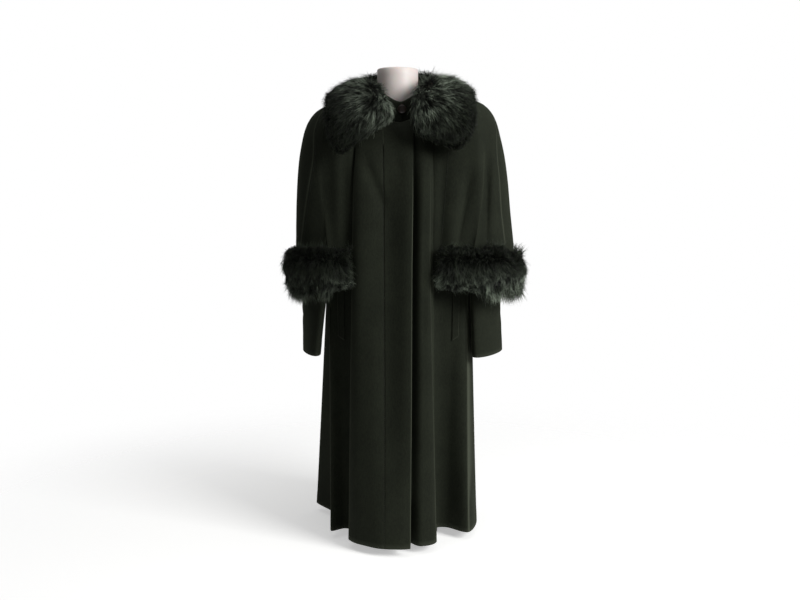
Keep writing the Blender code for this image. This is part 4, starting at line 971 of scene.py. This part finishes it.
# the roll of a band: height of its fullest place, height above and below it, how far it swells there,
# how far its top and its lower edge are drawn in, and how far they fall and rise at the arm
Roll = namedtuple("Roll", "middle above below swell topIn lowIn drop lift")
fur = {
    "rolls": {"right": Roll(0.712, 0.052, 0.084, 0.008, 0.008, 0.040, 0.004, 0.019),
              "left": Roll(0.702, 0.058, 0.076, 0.006, 0.010, 0.038, 0.018, 0.027)},
    "dropBetween": (0.250, 0.300),  # from the middle of the coat, where a band's top begins and stops falling
    "liftBetween": (0.130, 0.270),  # and where its lower edge begins and stops rising
    "rightSilver": 0.60,            # the band at the right arm has less silver
    "mergeWithin": 1e-5,
    "joinAngle": 0.7,               # radians, below which two triangles are joined
    "coreLevels": 2,
    "coreInset": 0.016,             # the core lies that far below the form, or a share of its thickness
    "coreShare": 0.36,
    "rayStart": 1e-4,
    "restsAbove": (1.040, 1.080),   # higher up, the underside of the fur lies on the cape
    "restReach": -0.002,
    "topRises": (0.728, 0.758),     # heights between which the hair of a band turns from hanging to standing
    "hang": 0.8,
    "stand": 0.75,
    "silverBelow": (0.738, 0.688),  # heights between which the silver of a band comes in
    "silverReach": (0.035, 0.105),  # from the collar's parting, where the silver and the painted highlight of the collar's lit top begin and stop fading
    "endFan": 0.040,                # how far from a front band's inner end the hair turns sideways
    "collarHang": 0.30,
    "leastRun": 0.35,               # hair that hardly leans to one side keeps standing up
    # hair grows thinner where the fur faces down or in: the limit of the normal, and the share that is left
    "underside": (-0.55, 0.6),
    "inside": (-0.4, 0.15),
    # where the hair of the collar parts, for the side at +X
    "partingLine": [PartingPoint(0.052, -0.150, 1.120), PartingPoint(0.066, -0.110, 1.165),
                    PartingPoint(0.076, -0.050, 1.190), PartingPoint(0.070, 0.030, 1.195),
                    PartingPoint(0.030, 0.085, 1.190), PartingPoint(0.000, 0.095, 1.185)],
    "partingSteps": 60,
    "firstSeed": 11,
    "collar": {"nodes": ("fur_collar_right", "fur_collar_left"), "hairs": 17000, "length": 0.044,
               "width": 0.00062, "lockSize": 0.0085, "clump": 0.85, "wander": 0.55, "wave": 0.008,
               "droop": 0.004, "lift": 0.60, "reach": Reach(0.003, 0.0, -0.018, 0.003)},
    "frontBand": {"nodes": ("fur_band_right", "fur_band_left"), "hairs": 12000, "length": 0.042,
                  "width": 0.00062, "lockSize": 0.0080, "clump": 0.85, "wander": 0.50, "wave": 0.007,
                  "droop": 0.004, "lift": 0.62, "reach": Reach(-0.004, 0.003, -0.016, 0.006), "fan": 1.1},
    "backBand": {"nodes": ("fur_band_back",), "hairs": 17300, "length": 0.042,
                 "width": 0.00075, "lockSize": 0.0085, "clump": 0.85, "wander": 0.50, "wave": 0.007,
                 "droop": 0.004, "lift": 0.62, "reach": Reach(-0.004, -0.002, -0.016, 0.006), "fan": 0.0},
}
# one hair: how far it bends over, how much of its tone is its own, the sizes in millimetres of the drift
# and the wave, its shortest and longest length, how much of the laying over a lock takes, and how far
# in radians it may be spun about itself
hair = {"sides": 3, "segments": 2, "bendOver": 0.22, "ownTone": 0.3, "lockTone": 0.7, "driftSize": 30.0,
        "waveSize": 9.0, "shortest": 0.72, "longest": 1.06, "leastLaid": 0.78, "laidSpread": 0.26,
        "spin": 6.283, "lockPower": 1.5, "bendPower": 2.0, "toneSeed": 3, "spinSeed": 5, "lengthSeed": 7}


def furTree():
    tree = bpy.data.node_groups.new("fur_hair", "GeometryNodeTree")
    face = tree.interface
    face.new_socket("Core", in_out="INPUT", socket_type="NodeSocketGeometry")
    for label in ("Density", "Length", "Width", "Lock size", "Clump", "Wander", "Wave", "Droop"):
        face.new_socket(label, in_out="INPUT", socket_type="NodeSocketFloat")
    face.new_socket("Seed", in_out="INPUT", socket_type="NodeSocketInt")
    face.new_socket("Fur", in_out="OUTPUT", socket_type="NodeSocketGeometry")
    given = addNode(tree, "NodeGroupInput").outputs

    def named(label, kind="FLOAT"):
        return addNode(tree, "GeometryNodeInputNamedAttribute", {"Name": label}, data_type=kind).outputs[0]

    def keep(geometry, label, value, kind="FLOAT"):
        stored = addNode(tree, "GeometryNodeStoreNamedAttribute",
                         {"Geometry": geometry, "Name": label, "Value": value}, data_type=kind, domain="POINT")
        return stored.outputs[0]

    def vector(operation, first, second):
        return addNode(tree, "ShaderNodeVectorMath", {0: first, 1: second}, operation=operation).outputs[0]

    def scaled(value, factor):
        node = addNode(tree, "ShaderNodeVectorMath", {0: value, "Scale": factor}, operation="SCALE")
        return node.outputs[0]

    def number(operation, first, second):
        return addNode(tree, "ShaderNodeMath", {0: first, 1: second}, operation=operation).outputs[0]

    def drift(at, scale, strength):
        noise = addNode(tree, "ShaderNodeTexNoise", {"Vector": at, "Scale": scale, "Detail": 1.0})
        return scaled(vector("SUBTRACT", noise.outputs["Color"], (0.5, 0.5, 0.5)), strength)

    # one hair, a closed tapered spike that bends over
    place = addNode(tree, "GeometryNodeInputPosition").outputs[0]
    spike = addNode(tree, "GeometryNodeMeshCone", {"Vertices": hair["sides"], "Fill Segments": 1,
                                                   "Side Segments": hair["segments"], "Radius Top": 0.0,
                                                   "Radius Bottom": given["Width"], "Depth": given["Length"]},
                    fill_type="NGON").outputs["Mesh"]
    height = addNode(tree, "ShaderNodeSeparateXYZ", {0: place}).outputs["Z"]
    spike = keep(spike, "along", number("DIVIDE", height, given["Length"]))
    over = number("MULTIPLY", number("POWER", named("along"), hair["bendPower"]),
                  number("MULTIPLY", given["Length"], hair["bendOver"]))
    bend = addNode(tree, "ShaderNodeCombineXYZ", {"X": over}).outputs[0]
    strand = addNode(tree, "GeometryNodeSetPosition", {"Geometry": spike, "Offset": bend}).outputs[0]

    # roots on the core, each with its own tone
    density = number("MULTIPLY", given["Density"], named("thick"))
    roots = addNode(tree, "GeometryNodeDistributePointsOnFaces", {"Mesh": given["Core"], "Density": density,
                                                                 "Seed": given["Seed"]}).outputs["Points"]
    roots = keep(roots, "root", place, "FLOAT_VECTOR")
    own = addNode(tree, "FunctionNodeRandomValue", {"Seed": hair["toneSeed"]}, data_type="FLOAT").outputs[1]
    lockScale = number("DIVIDE", 1.0, given["Lock size"])
    cell = addNode(tree, "ShaderNodeTexVoronoi", {"Vector": place, "Scale": lockScale}).outputs["Color"]
    shared = addNode(tree, "ShaderNodeSeparateXYZ", {0: cell}).outputs["X"]
    tone = number("ADD", number("MULTIPLY", own, hair["ownTone"]),
                  number("MULTIPLY", shared, hair["lockTone"]))
    roots = keep(roots, "tone", tone)
    wander = drift(place, perMm(hair["driftSize"]), given["Wander"])
    way = vector("ADD", named("comb", "FLOAT_VECTOR"), wander)
    turned = addNode(tree, "FunctionNodeAlignRotationToVector", {"Vector": way}, axis="Z").outputs[0]
    spin = addNode(tree, "FunctionNodeRandomValue", {"Max": (0.0, 0.0, hair["spin"]),
                                                     "Seed": hair["spinSeed"]},
                   data_type="FLOAT_VECTOR").outputs[0]
    spun = addNode(tree, "FunctionNodeEulerToRotation", {0: spin}).outputs[0]
    turned = addNode(tree, "FunctionNodeRotateRotation", {"Rotation": turned, "Rotate By": spun},
                     rotation_space="LOCAL").outputs[0]
    longer = addNode(tree, "FunctionNodeRandomValue", {2: hair["shortest"], 3: hair["longest"],
                                                       "Seed": hair["lengthSeed"]},
                     data_type="FLOAT").outputs[1]
    size = addNode(tree, "ShaderNodeCombineXYZ", {"X": 1.0, "Y": 1.0, "Z": longer}).outputs[0]
    hairs = addNode(tree, "GeometryNodeInstanceOnPoints", {"Points": roots, "Instance": strand,
                                                           "Rotation": turned, "Scale": size}).outputs[0]
    hairs = addNode(tree, "GeometryNodeRealizeInstances", {"Geometry": hairs}).outputs[0]

    # tips drawn together into locks, waved, weighed down and laid over
    root = named("root", "FLOAT_VECTOR")
    along = named("along")
    cell = addNode(tree, "ShaderNodeTexVoronoi", {"Vector": root, "Scale": lockScale})
    lock = scaled(vector("SUBTRACT", cell.outputs["Position"], root), given["Clump"])
    wave = drift(root, perMm(hair["waveSize"]), given["Wave"])
    down = addNode(tree, "ShaderNodeCombineXYZ", {"Z": number("MULTIPLY", given["Droop"], -1.0)}).outputs[0]
    moved = scaled(vector("ADD", vector("ADD", lock, wave), down), number("POWER", along, hair["lockPower"]))
    uneven = addNode(tree, "ShaderNodeSeparateXYZ", {0: cell.outputs["Color"]}).outputs["Y"]
    uneven = number("ADD", number("MULTIPLY", uneven, hair["laidSpread"]), hair["leastLaid"])
    over = number("MULTIPLY", uneven, number("POWER", along, hair["bendPower"]))
    moved = vector("ADD", moved, scaled(named("lay", "FLOAT_VECTOR"), over))
    hairs = addNode(tree, "GeometryNodeSetPosition", {"Geometry": hairs, "Offset": moved}).outputs[0]
    both = addNode(tree, "GeometryNodeJoinGeometry")
    for part, material in ((hairs, furHair), (given["Core"], underfur)):
        finished = addNode(tree, "GeometryNodeSetMaterial", {"Geometry": part, "Material": material})
        tree.links.new(finished.outputs[0], both.inputs[0])
    addNode(tree, "NodeGroupOutput", {"Fur": both.outputs[0]})
    return tree


def vertexArray(mesh, name="co"):
    values = np.zeros(len(mesh.vertices) * 3)
    if name == "co":
        mesh.vertices.foreach_get("co", values)
    else:
        mesh.vertex_normals.foreach_get("vector", values)
    return values.reshape(-1, 3)


def rolledBand(points, normals):
    # the outer side of a band swells at its fullest height and draws in towards its edges
    outward = unit(points[:, :2])
    facing = np.clip((normals[:, :2] * outward).sum(axis=1), 0.0, 1.0)
    rolled = points.copy()
    away = np.abs(points[:, 0])
    for side, roll in fur["rolls"].items():
        here = points[:, 0] < 0.0 if side == "right" else points[:, 0] >= 0.0
        rise = points[:, 2] - roll.middle
        share = np.clip(rise / np.where(rise > 0.0, roll.above, roll.below), -1.0, 1.0)
        tucked = np.where(rise > 0.0, roll.topIn, roll.lowIn)
        shift = facing * (roll.swell - (roll.swell + tucked) * share ** 2)
        rolled[here, :2] += (outward * shift[:, None])[here]
        drop = roll.drop * fade(away, *fur["dropBetween"]) * np.maximum(share, 0.0)
        lift = roll.lift * fade(away, *fur["liftBetween"]) * np.maximum(-share, 0.0)
        rolled[here, 2] += (lift - drop)[here]
    return rolled


def furCore(node):
    # the solid's form, smoothed, rolled if it is a band, and drawn in; also its plain form and its surface
    shape = bmesh.new()
    shape.from_mesh(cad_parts[node].data)
    bmesh.ops.remove_doubles(shape, verts=shape.verts, dist=fur["mergeWithin"])
    bmesh.ops.join_triangles(shape, faces=shape.faces, angle_face_threshold=fur["joinAngle"],
                             angle_shape_threshold=fur["joinAngle"])
    mesh = bpy.data.meshes.new(node + "_core")
    shape.to_mesh(mesh)
    shape.free()
    holder = bpy.data.objects.new(node + "_core", mesh)
    bpy.context.scene.collection.objects.link(holder)
    finer = holder.modifiers.new("finer", "SUBSURF")
    finer.levels = finer.render_levels = fur["coreLevels"]
    smooth = bpy.data.meshes.new_from_object(holder.evaluated_get(bpy.context.evaluated_depsgraph_get()))
    bpy.data.objects.remove(holder)
    plain = vertexArray(smooth)
    if node.startswith("fur_band"):
        rolled = rolledBand(plain, vertexArray(smooth, "normal"))
        smooth.vertices.foreach_set("co", rolled.reshape(-1))
        smooth.update()
    points, normals = vertexArray(smooth), vertexArray(smooth, "normal")
    faces = [tuple(face.vertices) for face in smooth.polygons]
    tree = BVHTree.FromPolygons([Vector(point) for point in points], faces)
    inset = np.zeros(len(points))
    for number, (point, normal) in enumerate(zip(points, normals)):
        thickness = tree.ray_cast(Vector(point - normal * fur["rayStart"]), Vector(-normal))[3]
        inset[number] = min(fur["coreInset"], fur["coreShare"] * (thickness or 0.0))
    smooth.vertices.foreach_set("co", (points - normals * inset[:, None]).reshape(-1))
    smooth.update()
    return smooth, plain, tree


def fromParting(points, side):
    line = np.array([(side * row.x, row.y, row.z) for row in fur["partingLine"]])
    fine = curveThrough(line, np.linspace(0, len(line) - 1, fur["partingSteps"]))
    return points - fine[np.argmin(((points[:, None] - fine[None]) ** 2).sum(axis=-1), axis=1)]


def collarHair(points, normals, side):
    # hair runs away from a line round the neck, which ends above each front lobe, and a little down
    away = fromParting(points, side)
    flow = unit(away) + np.array([0.0, 0.0, -fur["collarHang"]])
    # the silver near the parting is partly painted highlight: the top of the collar by the neck is paler, its
    # outer sides darker
    silver = 1.0 - fade(np.linalg.norm(away, axis=1), *fur["silverReach"])
    limit, share = fur["underside"]
    return flow, silver, np.where(normals[:, 2] < limit, share, 1.0)


def bandHair(points, normals, side, fan):
    # hair hangs, stands up along the band's top, and at a front end fans towards the middle of the coat
    height = points[:, 2]
    top = fade(height, *fur["topRises"])
    upward = fur["stand"] * top - fur["hang"] * (1.0 - top)
    across = side * points[:, 0]
    sideways = -fan * side * smoothStep(1.0 - (across - across.min()) / fur["endFan"])
    flow = np.column_stack([sideways, np.zeros(len(points)), upward])
    silver = np.where(points[:, 0] < 0.0, fur["rightSilver"], 1.0) * fade(height, *fur["silverBelow"])
    limit, share = fur["inside"]
    inward = (normals[:, :2] * unit(points[:, :2])).sum(axis=1) < limit
    return flow, silver, np.where(inward, share, 1.0)


def layOver(solid, tip, reach):
    # how far a tip that stands out of the fur's form is laid back onto it
    nearest, normal, _, _ = solid.find_nearest(Vector(tip))
    upright = normal.z ** 2
    low = reach.low + (fur["restReach"] - reach.low) * fade(nearest.z, *fur["restsAbove"])
    beyond = reach.side * (1.0 - upright) + (reach.top if normal.z > 0 else low) * upright
    beyond -= reach.corner * 2.0 * math.sqrt(upright * max(0.0, 1.0 - upright))
    if (Vector(tip) - nearest).dot(normal) < beyond:
        return np.zeros(3)
    return np.array(nearest + normal * beyond) - tip


def growFur(tree, node, settings, seed):
    core, surface, solid = furCore(node)
    roots, normals = vertexArray(core), vertexArray(core, "normal")
    side = -1.0 if node.endswith("right") else 1.0
    if "fan" in settings:
        flow, silver, thick = bandHair(surface, normals, side, settings["fan"])
    else:
        flow, silver, thick = collarHair(surface, normals, side)
    run = flow - normals * (flow * normals).sum(axis=1, keepdims=True)
    run = run / np.maximum(np.linalg.norm(run, axis=1, keepdims=True), fur["leastRun"])
    comb = unit(normals * settings["lift"] + run)
    lay = np.array([layOver(solid, tip, settings["reach"]) for tip in roots + comb * settings["length"]])
    for label, values in (("comb", comb), ("lay", lay), ("thick", thick), ("silver", silver)):
        kind, field = ("FLOAT_VECTOR", "vector") if values.ndim == 2 else ("FLOAT", "value")
        attribute = core.attributes.new(label, kind, "POINT")
        attribute.data.foreach_set(field, values.astype(np.float32).reshape(-1))
    shape = bmesh.new()
    shape.from_mesh(core)
    area = sum(each.calc_area() for each in shape.faces)
    shape.free()
    density = settings["hairs"] / (area * float(np.mean(thick)))
    mesh = runTree(tree, node, core, {
        "Density": density, "Length": settings["length"], "Width": settings["width"],
        "Lock size": settings["lockSize"], "Clump": settings["clump"], "Wander": settings["wander"],
        "Wave": settings["wave"], "Droop": settings["droop"], "Seed": seed})
    for label in ("root", "comb", "thick", "lay"):
        if label in mesh.attributes:
            mesh.attributes.remove(mesh.attributes[label])
    addPiece(node + "_hair", mesh, None, node)
    print(node, "fur triangles:", sum(len(each.vertices) - 2 for each in mesh.polygons))


def makeFur():
    tree = furTree()
    seed = fur["firstSeed"]
    for kind in ("collar", "frontBand", "backBand"):
        for node in fur[kind]["nodes"]:
            growFur(tree, node, fur[kind], seed)
            seed += 1


# Stitches along seams and edges, by a node tree

StitchRow = namedtuple("StitchRow", "row low high")
stitches = {
    "pitch": 0.0046, "length": 0.0034, "thickness": 0.00042, "lift": 0.0003, "sides": 6, "rings": 4,
    "fly": [StitchRow(body["flyRow"], 0.03, 1.03)],
    # beside the side seams of the cape, and along its left front edge
    "capeRight": [StitchRow(3.80, 0.70, 1.11)],
    "capeLeft": [StitchRow(14.20, 0.70, 1.11), StitchRow(18.38, 0.72, 1.06)],
}


def stitchTree():
    tree = bpy.data.node_groups.new("stitch_run", "GeometryNodeTree")
    face = tree.interface
    face.new_socket("Line", in_out="INPUT", socket_type="NodeSocketGeometry")
    for label in ("Pitch", "Length", "Thickness"):
        face.new_socket(label, in_out="INPUT", socket_type="NodeSocketFloat")
    face.new_socket("Stitches", in_out="OUTPUT", socket_type="NodeSocketGeometry")
    given = addNode(tree, "NodeGroupInput").outputs
    curve = addNode(tree, "GeometryNodeMeshToCurve", {"Mesh": given["Line"]}).outputs[0]
    even = addNode(tree, "GeometryNodeResampleCurve", {"Curve": curve, "Length": given["Pitch"]},
                   mode="LENGTH").outputs[0]
    tangent = addNode(tree, "GeometryNodeInputTangent").outputs[0]
    turned = addNode(tree, "FunctionNodeAlignRotationToVector", {"Vector": tangent}, axis="Z").outputs[0]
    half = addNode(tree, "ShaderNodeMath", {0: given["Length"], 1: 0.5}, operation="MULTIPLY").outputs[0]
    size = addNode(tree, "ShaderNodeCombineXYZ", {"X": given["Thickness"], "Y": given["Thickness"],
                                                  "Z": half}).outputs[0]
    bead = addNode(tree, "GeometryNodeMeshUVSphere", {"Segments": stitches["sides"], "Radius": 1.0,
                                                      "Rings": stitches["rings"]}).outputs["Mesh"]
    runs = addNode(tree, "GeometryNodeInstanceOnPoints", {"Points": even, "Instance": bead,
                                                          "Rotation": turned, "Scale": size}).outputs[0]
    runs = addNode(tree, "GeometryNodeRealizeInstances", {"Geometry": runs}).outputs[0]
    runs = addNode(tree, "GeometryNodeSetMaterial", {"Geometry": runs, "Material": thread}).outputs[0]
    addNode(tree, "NodeGroupOutput", {"Stitches": runs})
    return tree


def stitchLine(rows, outer, normal, stitchRow):
    # a line down the cloth at a row number, between two heights, just proud of it
    def across(level):
        return [np.interp(stitchRow.row, rows, level[:, axis]) for axis in range(3)]

    line, out = (np.array([across(level) for level in grid]) for grid in (outer, normal))
    line = line + unit(out) * stitches["lift"]
    return line[(line[:, 2] > stitchRow.low) & (line[:, 2] < stitchRow.high)]


def sew(tree, name, node, rows, outer, stitchRows):
    normal = facingOut(gridNormals(outer), outer)
    lines = [stitchLine(rows, outer, normal, stitchRow) for stitchRow in stitchRows]
    edges = []
    start = 0
    for line in lines:
        edges += [(start + at, start + at + 1) for at in range(len(line) - 1)]
        start += len(line)
    mesh = bpy.data.meshes.new(name)
    mesh.from_pydata(np.concatenate(lines), edges, [])
    made = runTree(tree, name, mesh, {"Pitch": stitches["pitch"], "Length": stitches["length"],
                                      "Thickness": stitches["thickness"]})
    addPiece(name, made, None, node, replaced=False)


def makeStitches():
    tree = stitchTree()
    rows, outer, _ = panelGrids("front_right")
    sew(tree, "fly_stitches", "front_right", rows, outer, stitches["fly"])
    capeOuter = capeGrids()[0]
    sew(tree, "cape_stitches_right", "cape_front_right", capeRows(), capeOuter, stitches["capeRight"])
    sew(tree, "cape_stitches_left", "cape_front_left", capeRows(), capeOuter, stitches["capeLeft"])
    print("stitches sewn")


# Dress form: the pale moulded shell, smooth, with a rounded rim at its neck

FormRing = namedtuple("FormRing", "z halfX halfY")
form = {
    "columns": 72,
    "steps": 4,
    "neckShift": -0.006,
    "shiftBetween": (1.060, 1.130),
    "rings": [
        FormRing(1.2140, 0.0490, 0.0520), FormRing(1.2132, 0.0508, 0.0538), FormRing(1.2110, 0.0522, 0.0552),
        FormRing(1.1600, 0.0520, 0.0550), FormRing(1.1280, 0.0540, 0.0540), FormRing(1.1080, 0.0700, 0.0500),
        FormRing(1.0920, 0.1100, 0.0480), FormRing(1.0700, 0.1440, 0.0520), FormRing(1.0400, 0.1560, 0.0620),
        FormRing(0.9600, 0.1500, 0.0880), FormRing(0.8800, 0.1500, 0.1060), FormRing(0.8000, 0.1400, 0.1000),
        FormRing(0.7000, 0.1200, 0.0860), FormRing(0.6100, 0.1320, 0.0880), FormRing(0.5500, 0.1300, 0.0860),
        FormRing(0.5150, 0.1080, 0.0720), FormRing(0.5050, 0.0800, 0.0560),
    ],
}


def makeForm():
    rings = form["rings"]
    levels = np.linspace(0, len(rings) - 1, (len(rings) - 1) * form["steps"] + 1)
    columns = [np.interp(levels, range(len(rings)), column(rings, name)) for name in FormRing._fields]
    turns = np.linspace(0.0, 2 * np.pi, form["columns"], endpoint=False)
    grid = np.stack([np.outer(columns[1], np.cos(turns)), np.outer(columns[2], np.sin(turns)),
                     np.repeat(columns[0][:, None], len(turns), axis=1)], axis=-1)
    grid[..., 0] += form["neckShift"] * fade(grid[..., 2], *form["shiftBetween"])
    numbers = np.arange(grid.shape[0] * grid.shape[1]).reshape(grid.shape[:2])
    wrapped = np.concatenate([numbers, numbers[:, :1]], axis=1)
    mesh = bpy.data.meshes.new("form_shell")
    caps = [numbers[0].tolist(), numbers[-1].tolist()]
    mesh.from_pydata(grid.reshape(-1, 3), [], gridQuads(wrapped).tolist() + caps)
    turnOut(mesh)
    addPiece("form_shell", mesh, formShell, "form_torso")
    for node, material in (("form_pole", tubeSteel), ("form_base", baseEnamel)):
        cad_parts[node].data.materials.clear()
        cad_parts[node].data.materials.append(material)
    print("form made")


# Floor, light and camera

studio = {
    "cameraY": -2.5, "cameraZ": 0.908, "tiltDown": 6.5, "lens": 43.3, "sensor": 36.0,
    "aim": (0.0, 0.0, 0.75),
    "keyPlace": (2.35, -1.97, 2.0), "keySize": 1.5, "keyPower": 108.0,
    "topPlace": (0.0, -0.3, 3.6), "topSize": 3.0, "topPower": 30.0,
    "worldStrength": 0.13,
    "floorHalf": 40.0, "floorZ": -0.0004, "floorFades": (0.35, 1.7), "floorGlow": 0.45,
}


def addLight(name, place, size, power):
    lamp = bpy.data.lights.new(name, "AREA")
    lamp.size = size
    lamp.energy = power
    holder = bpy.data.objects.new(name, lamp)
    holder.location = place
    holder.rotation_euler = (Vector(studio["aim"]) - Vector(place)).to_track_quat("-Z", "Y").to_euler()
    bpy.context.scene.collection.objects.link(holder)


def makePaper():
    # White backdrop paper, which fades into the white beyond it
    paper, tree, shader = newMaterial("white_backdrop_paper", Base_Color=toLinear("f6f6f4"), Roughness=0.9,
                                      Emission_Color=toLinear("ffffff"))
    # its glow is only seen and lights nothing
    seen = addNode(tree, "ShaderNodeLightPath").outputs["Is Camera Ray"]
    glow = addNode(tree, "ShaderNodeMath", {0: seen, 1: studio["floorGlow"]}, operation="MULTIPLY").outputs[0]
    tree.links.new(glow, shader.inputs["Emission Strength"])
    place = addNode(tree, "ShaderNodeTexCoord").outputs["Object"]
    reach = addNode(tree, "ShaderNodeVectorMath", {0: place}, operation="LENGTH").outputs["Value"]
    near, far = studio["floorFades"]
    solid = addNode(tree, "ShaderNodeMapRange", {"Value": reach, "From Min": near, "From Max": far,
                                                 "To Min": 1.0, "To Max": 0.0},
                    interpolation_type="SMOOTHSTEP").outputs[0]
    tree.links.new(solid, shader.inputs["Alpha"])
    return paper


def makeStudio():
    scene = bpy.context.scene
    half = studio["floorHalf"]
    mesh = bpy.data.meshes.new("floor")
    corners = [(-half, -half), (half, -half), (half, half), (-half, half)]
    mesh.from_pydata([(x, y, studio["floorZ"]) for x, y in corners], [], [(0, 1, 2, 3)])
    floor = bpy.data.objects.new("floor", mesh)
    scene.collection.objects.link(floor)
    mesh.materials.append(makePaper())
    world = bpy.data.worlds.new("studio_white")
    world.use_nodes = True
    tree = world.node_tree
    # plain white where it is seen, weaker as a light
    ray = addNode(tree, "ShaderNodeLightPath").outputs["Is Camera Ray"]
    strength = addNode(tree, "ShaderNodeMapRange", {"Value": ray,
                                                    "To Min": studio["worldStrength"]}).outputs[0]
    background = tree.nodes["Background"]
    background.inputs["Color"].default_value = toLinear("ffffff")
    tree.links.new(strength, background.inputs["Strength"])
    scene.world = world
    addLight("key", studio["keyPlace"], studio["keySize"], studio["keyPower"])
    addLight("top", studio["topPlace"], studio["topSize"], studio["topPower"])
    lens = bpy.data.cameras.new("photo_view")
    lens.lens = studio["lens"]
    lens.sensor_width = studio["sensor"]
    camera = bpy.data.objects.new("photo_view", lens)
    camera.location = (0.0, studio["cameraY"], studio["cameraZ"])
    camera.rotation_euler = (math.radians(90.0 - studio["tiltDown"]), 0.0, 0.0)
    scene.collection.objects.link(camera)
    scene.camera = camera
    scene.view_settings.view_transform = "Standard"
    print("studio made")


makeBody()
for sideName in ("right", "left"):
    makeSleeve(sideName)
makeCape()
makeNeckBand()
makeButton()
for sideName in ("right", "left"):
    makeWelt(sideName)
makeFur()
makeStitches()
makeForm()
makeStudio()
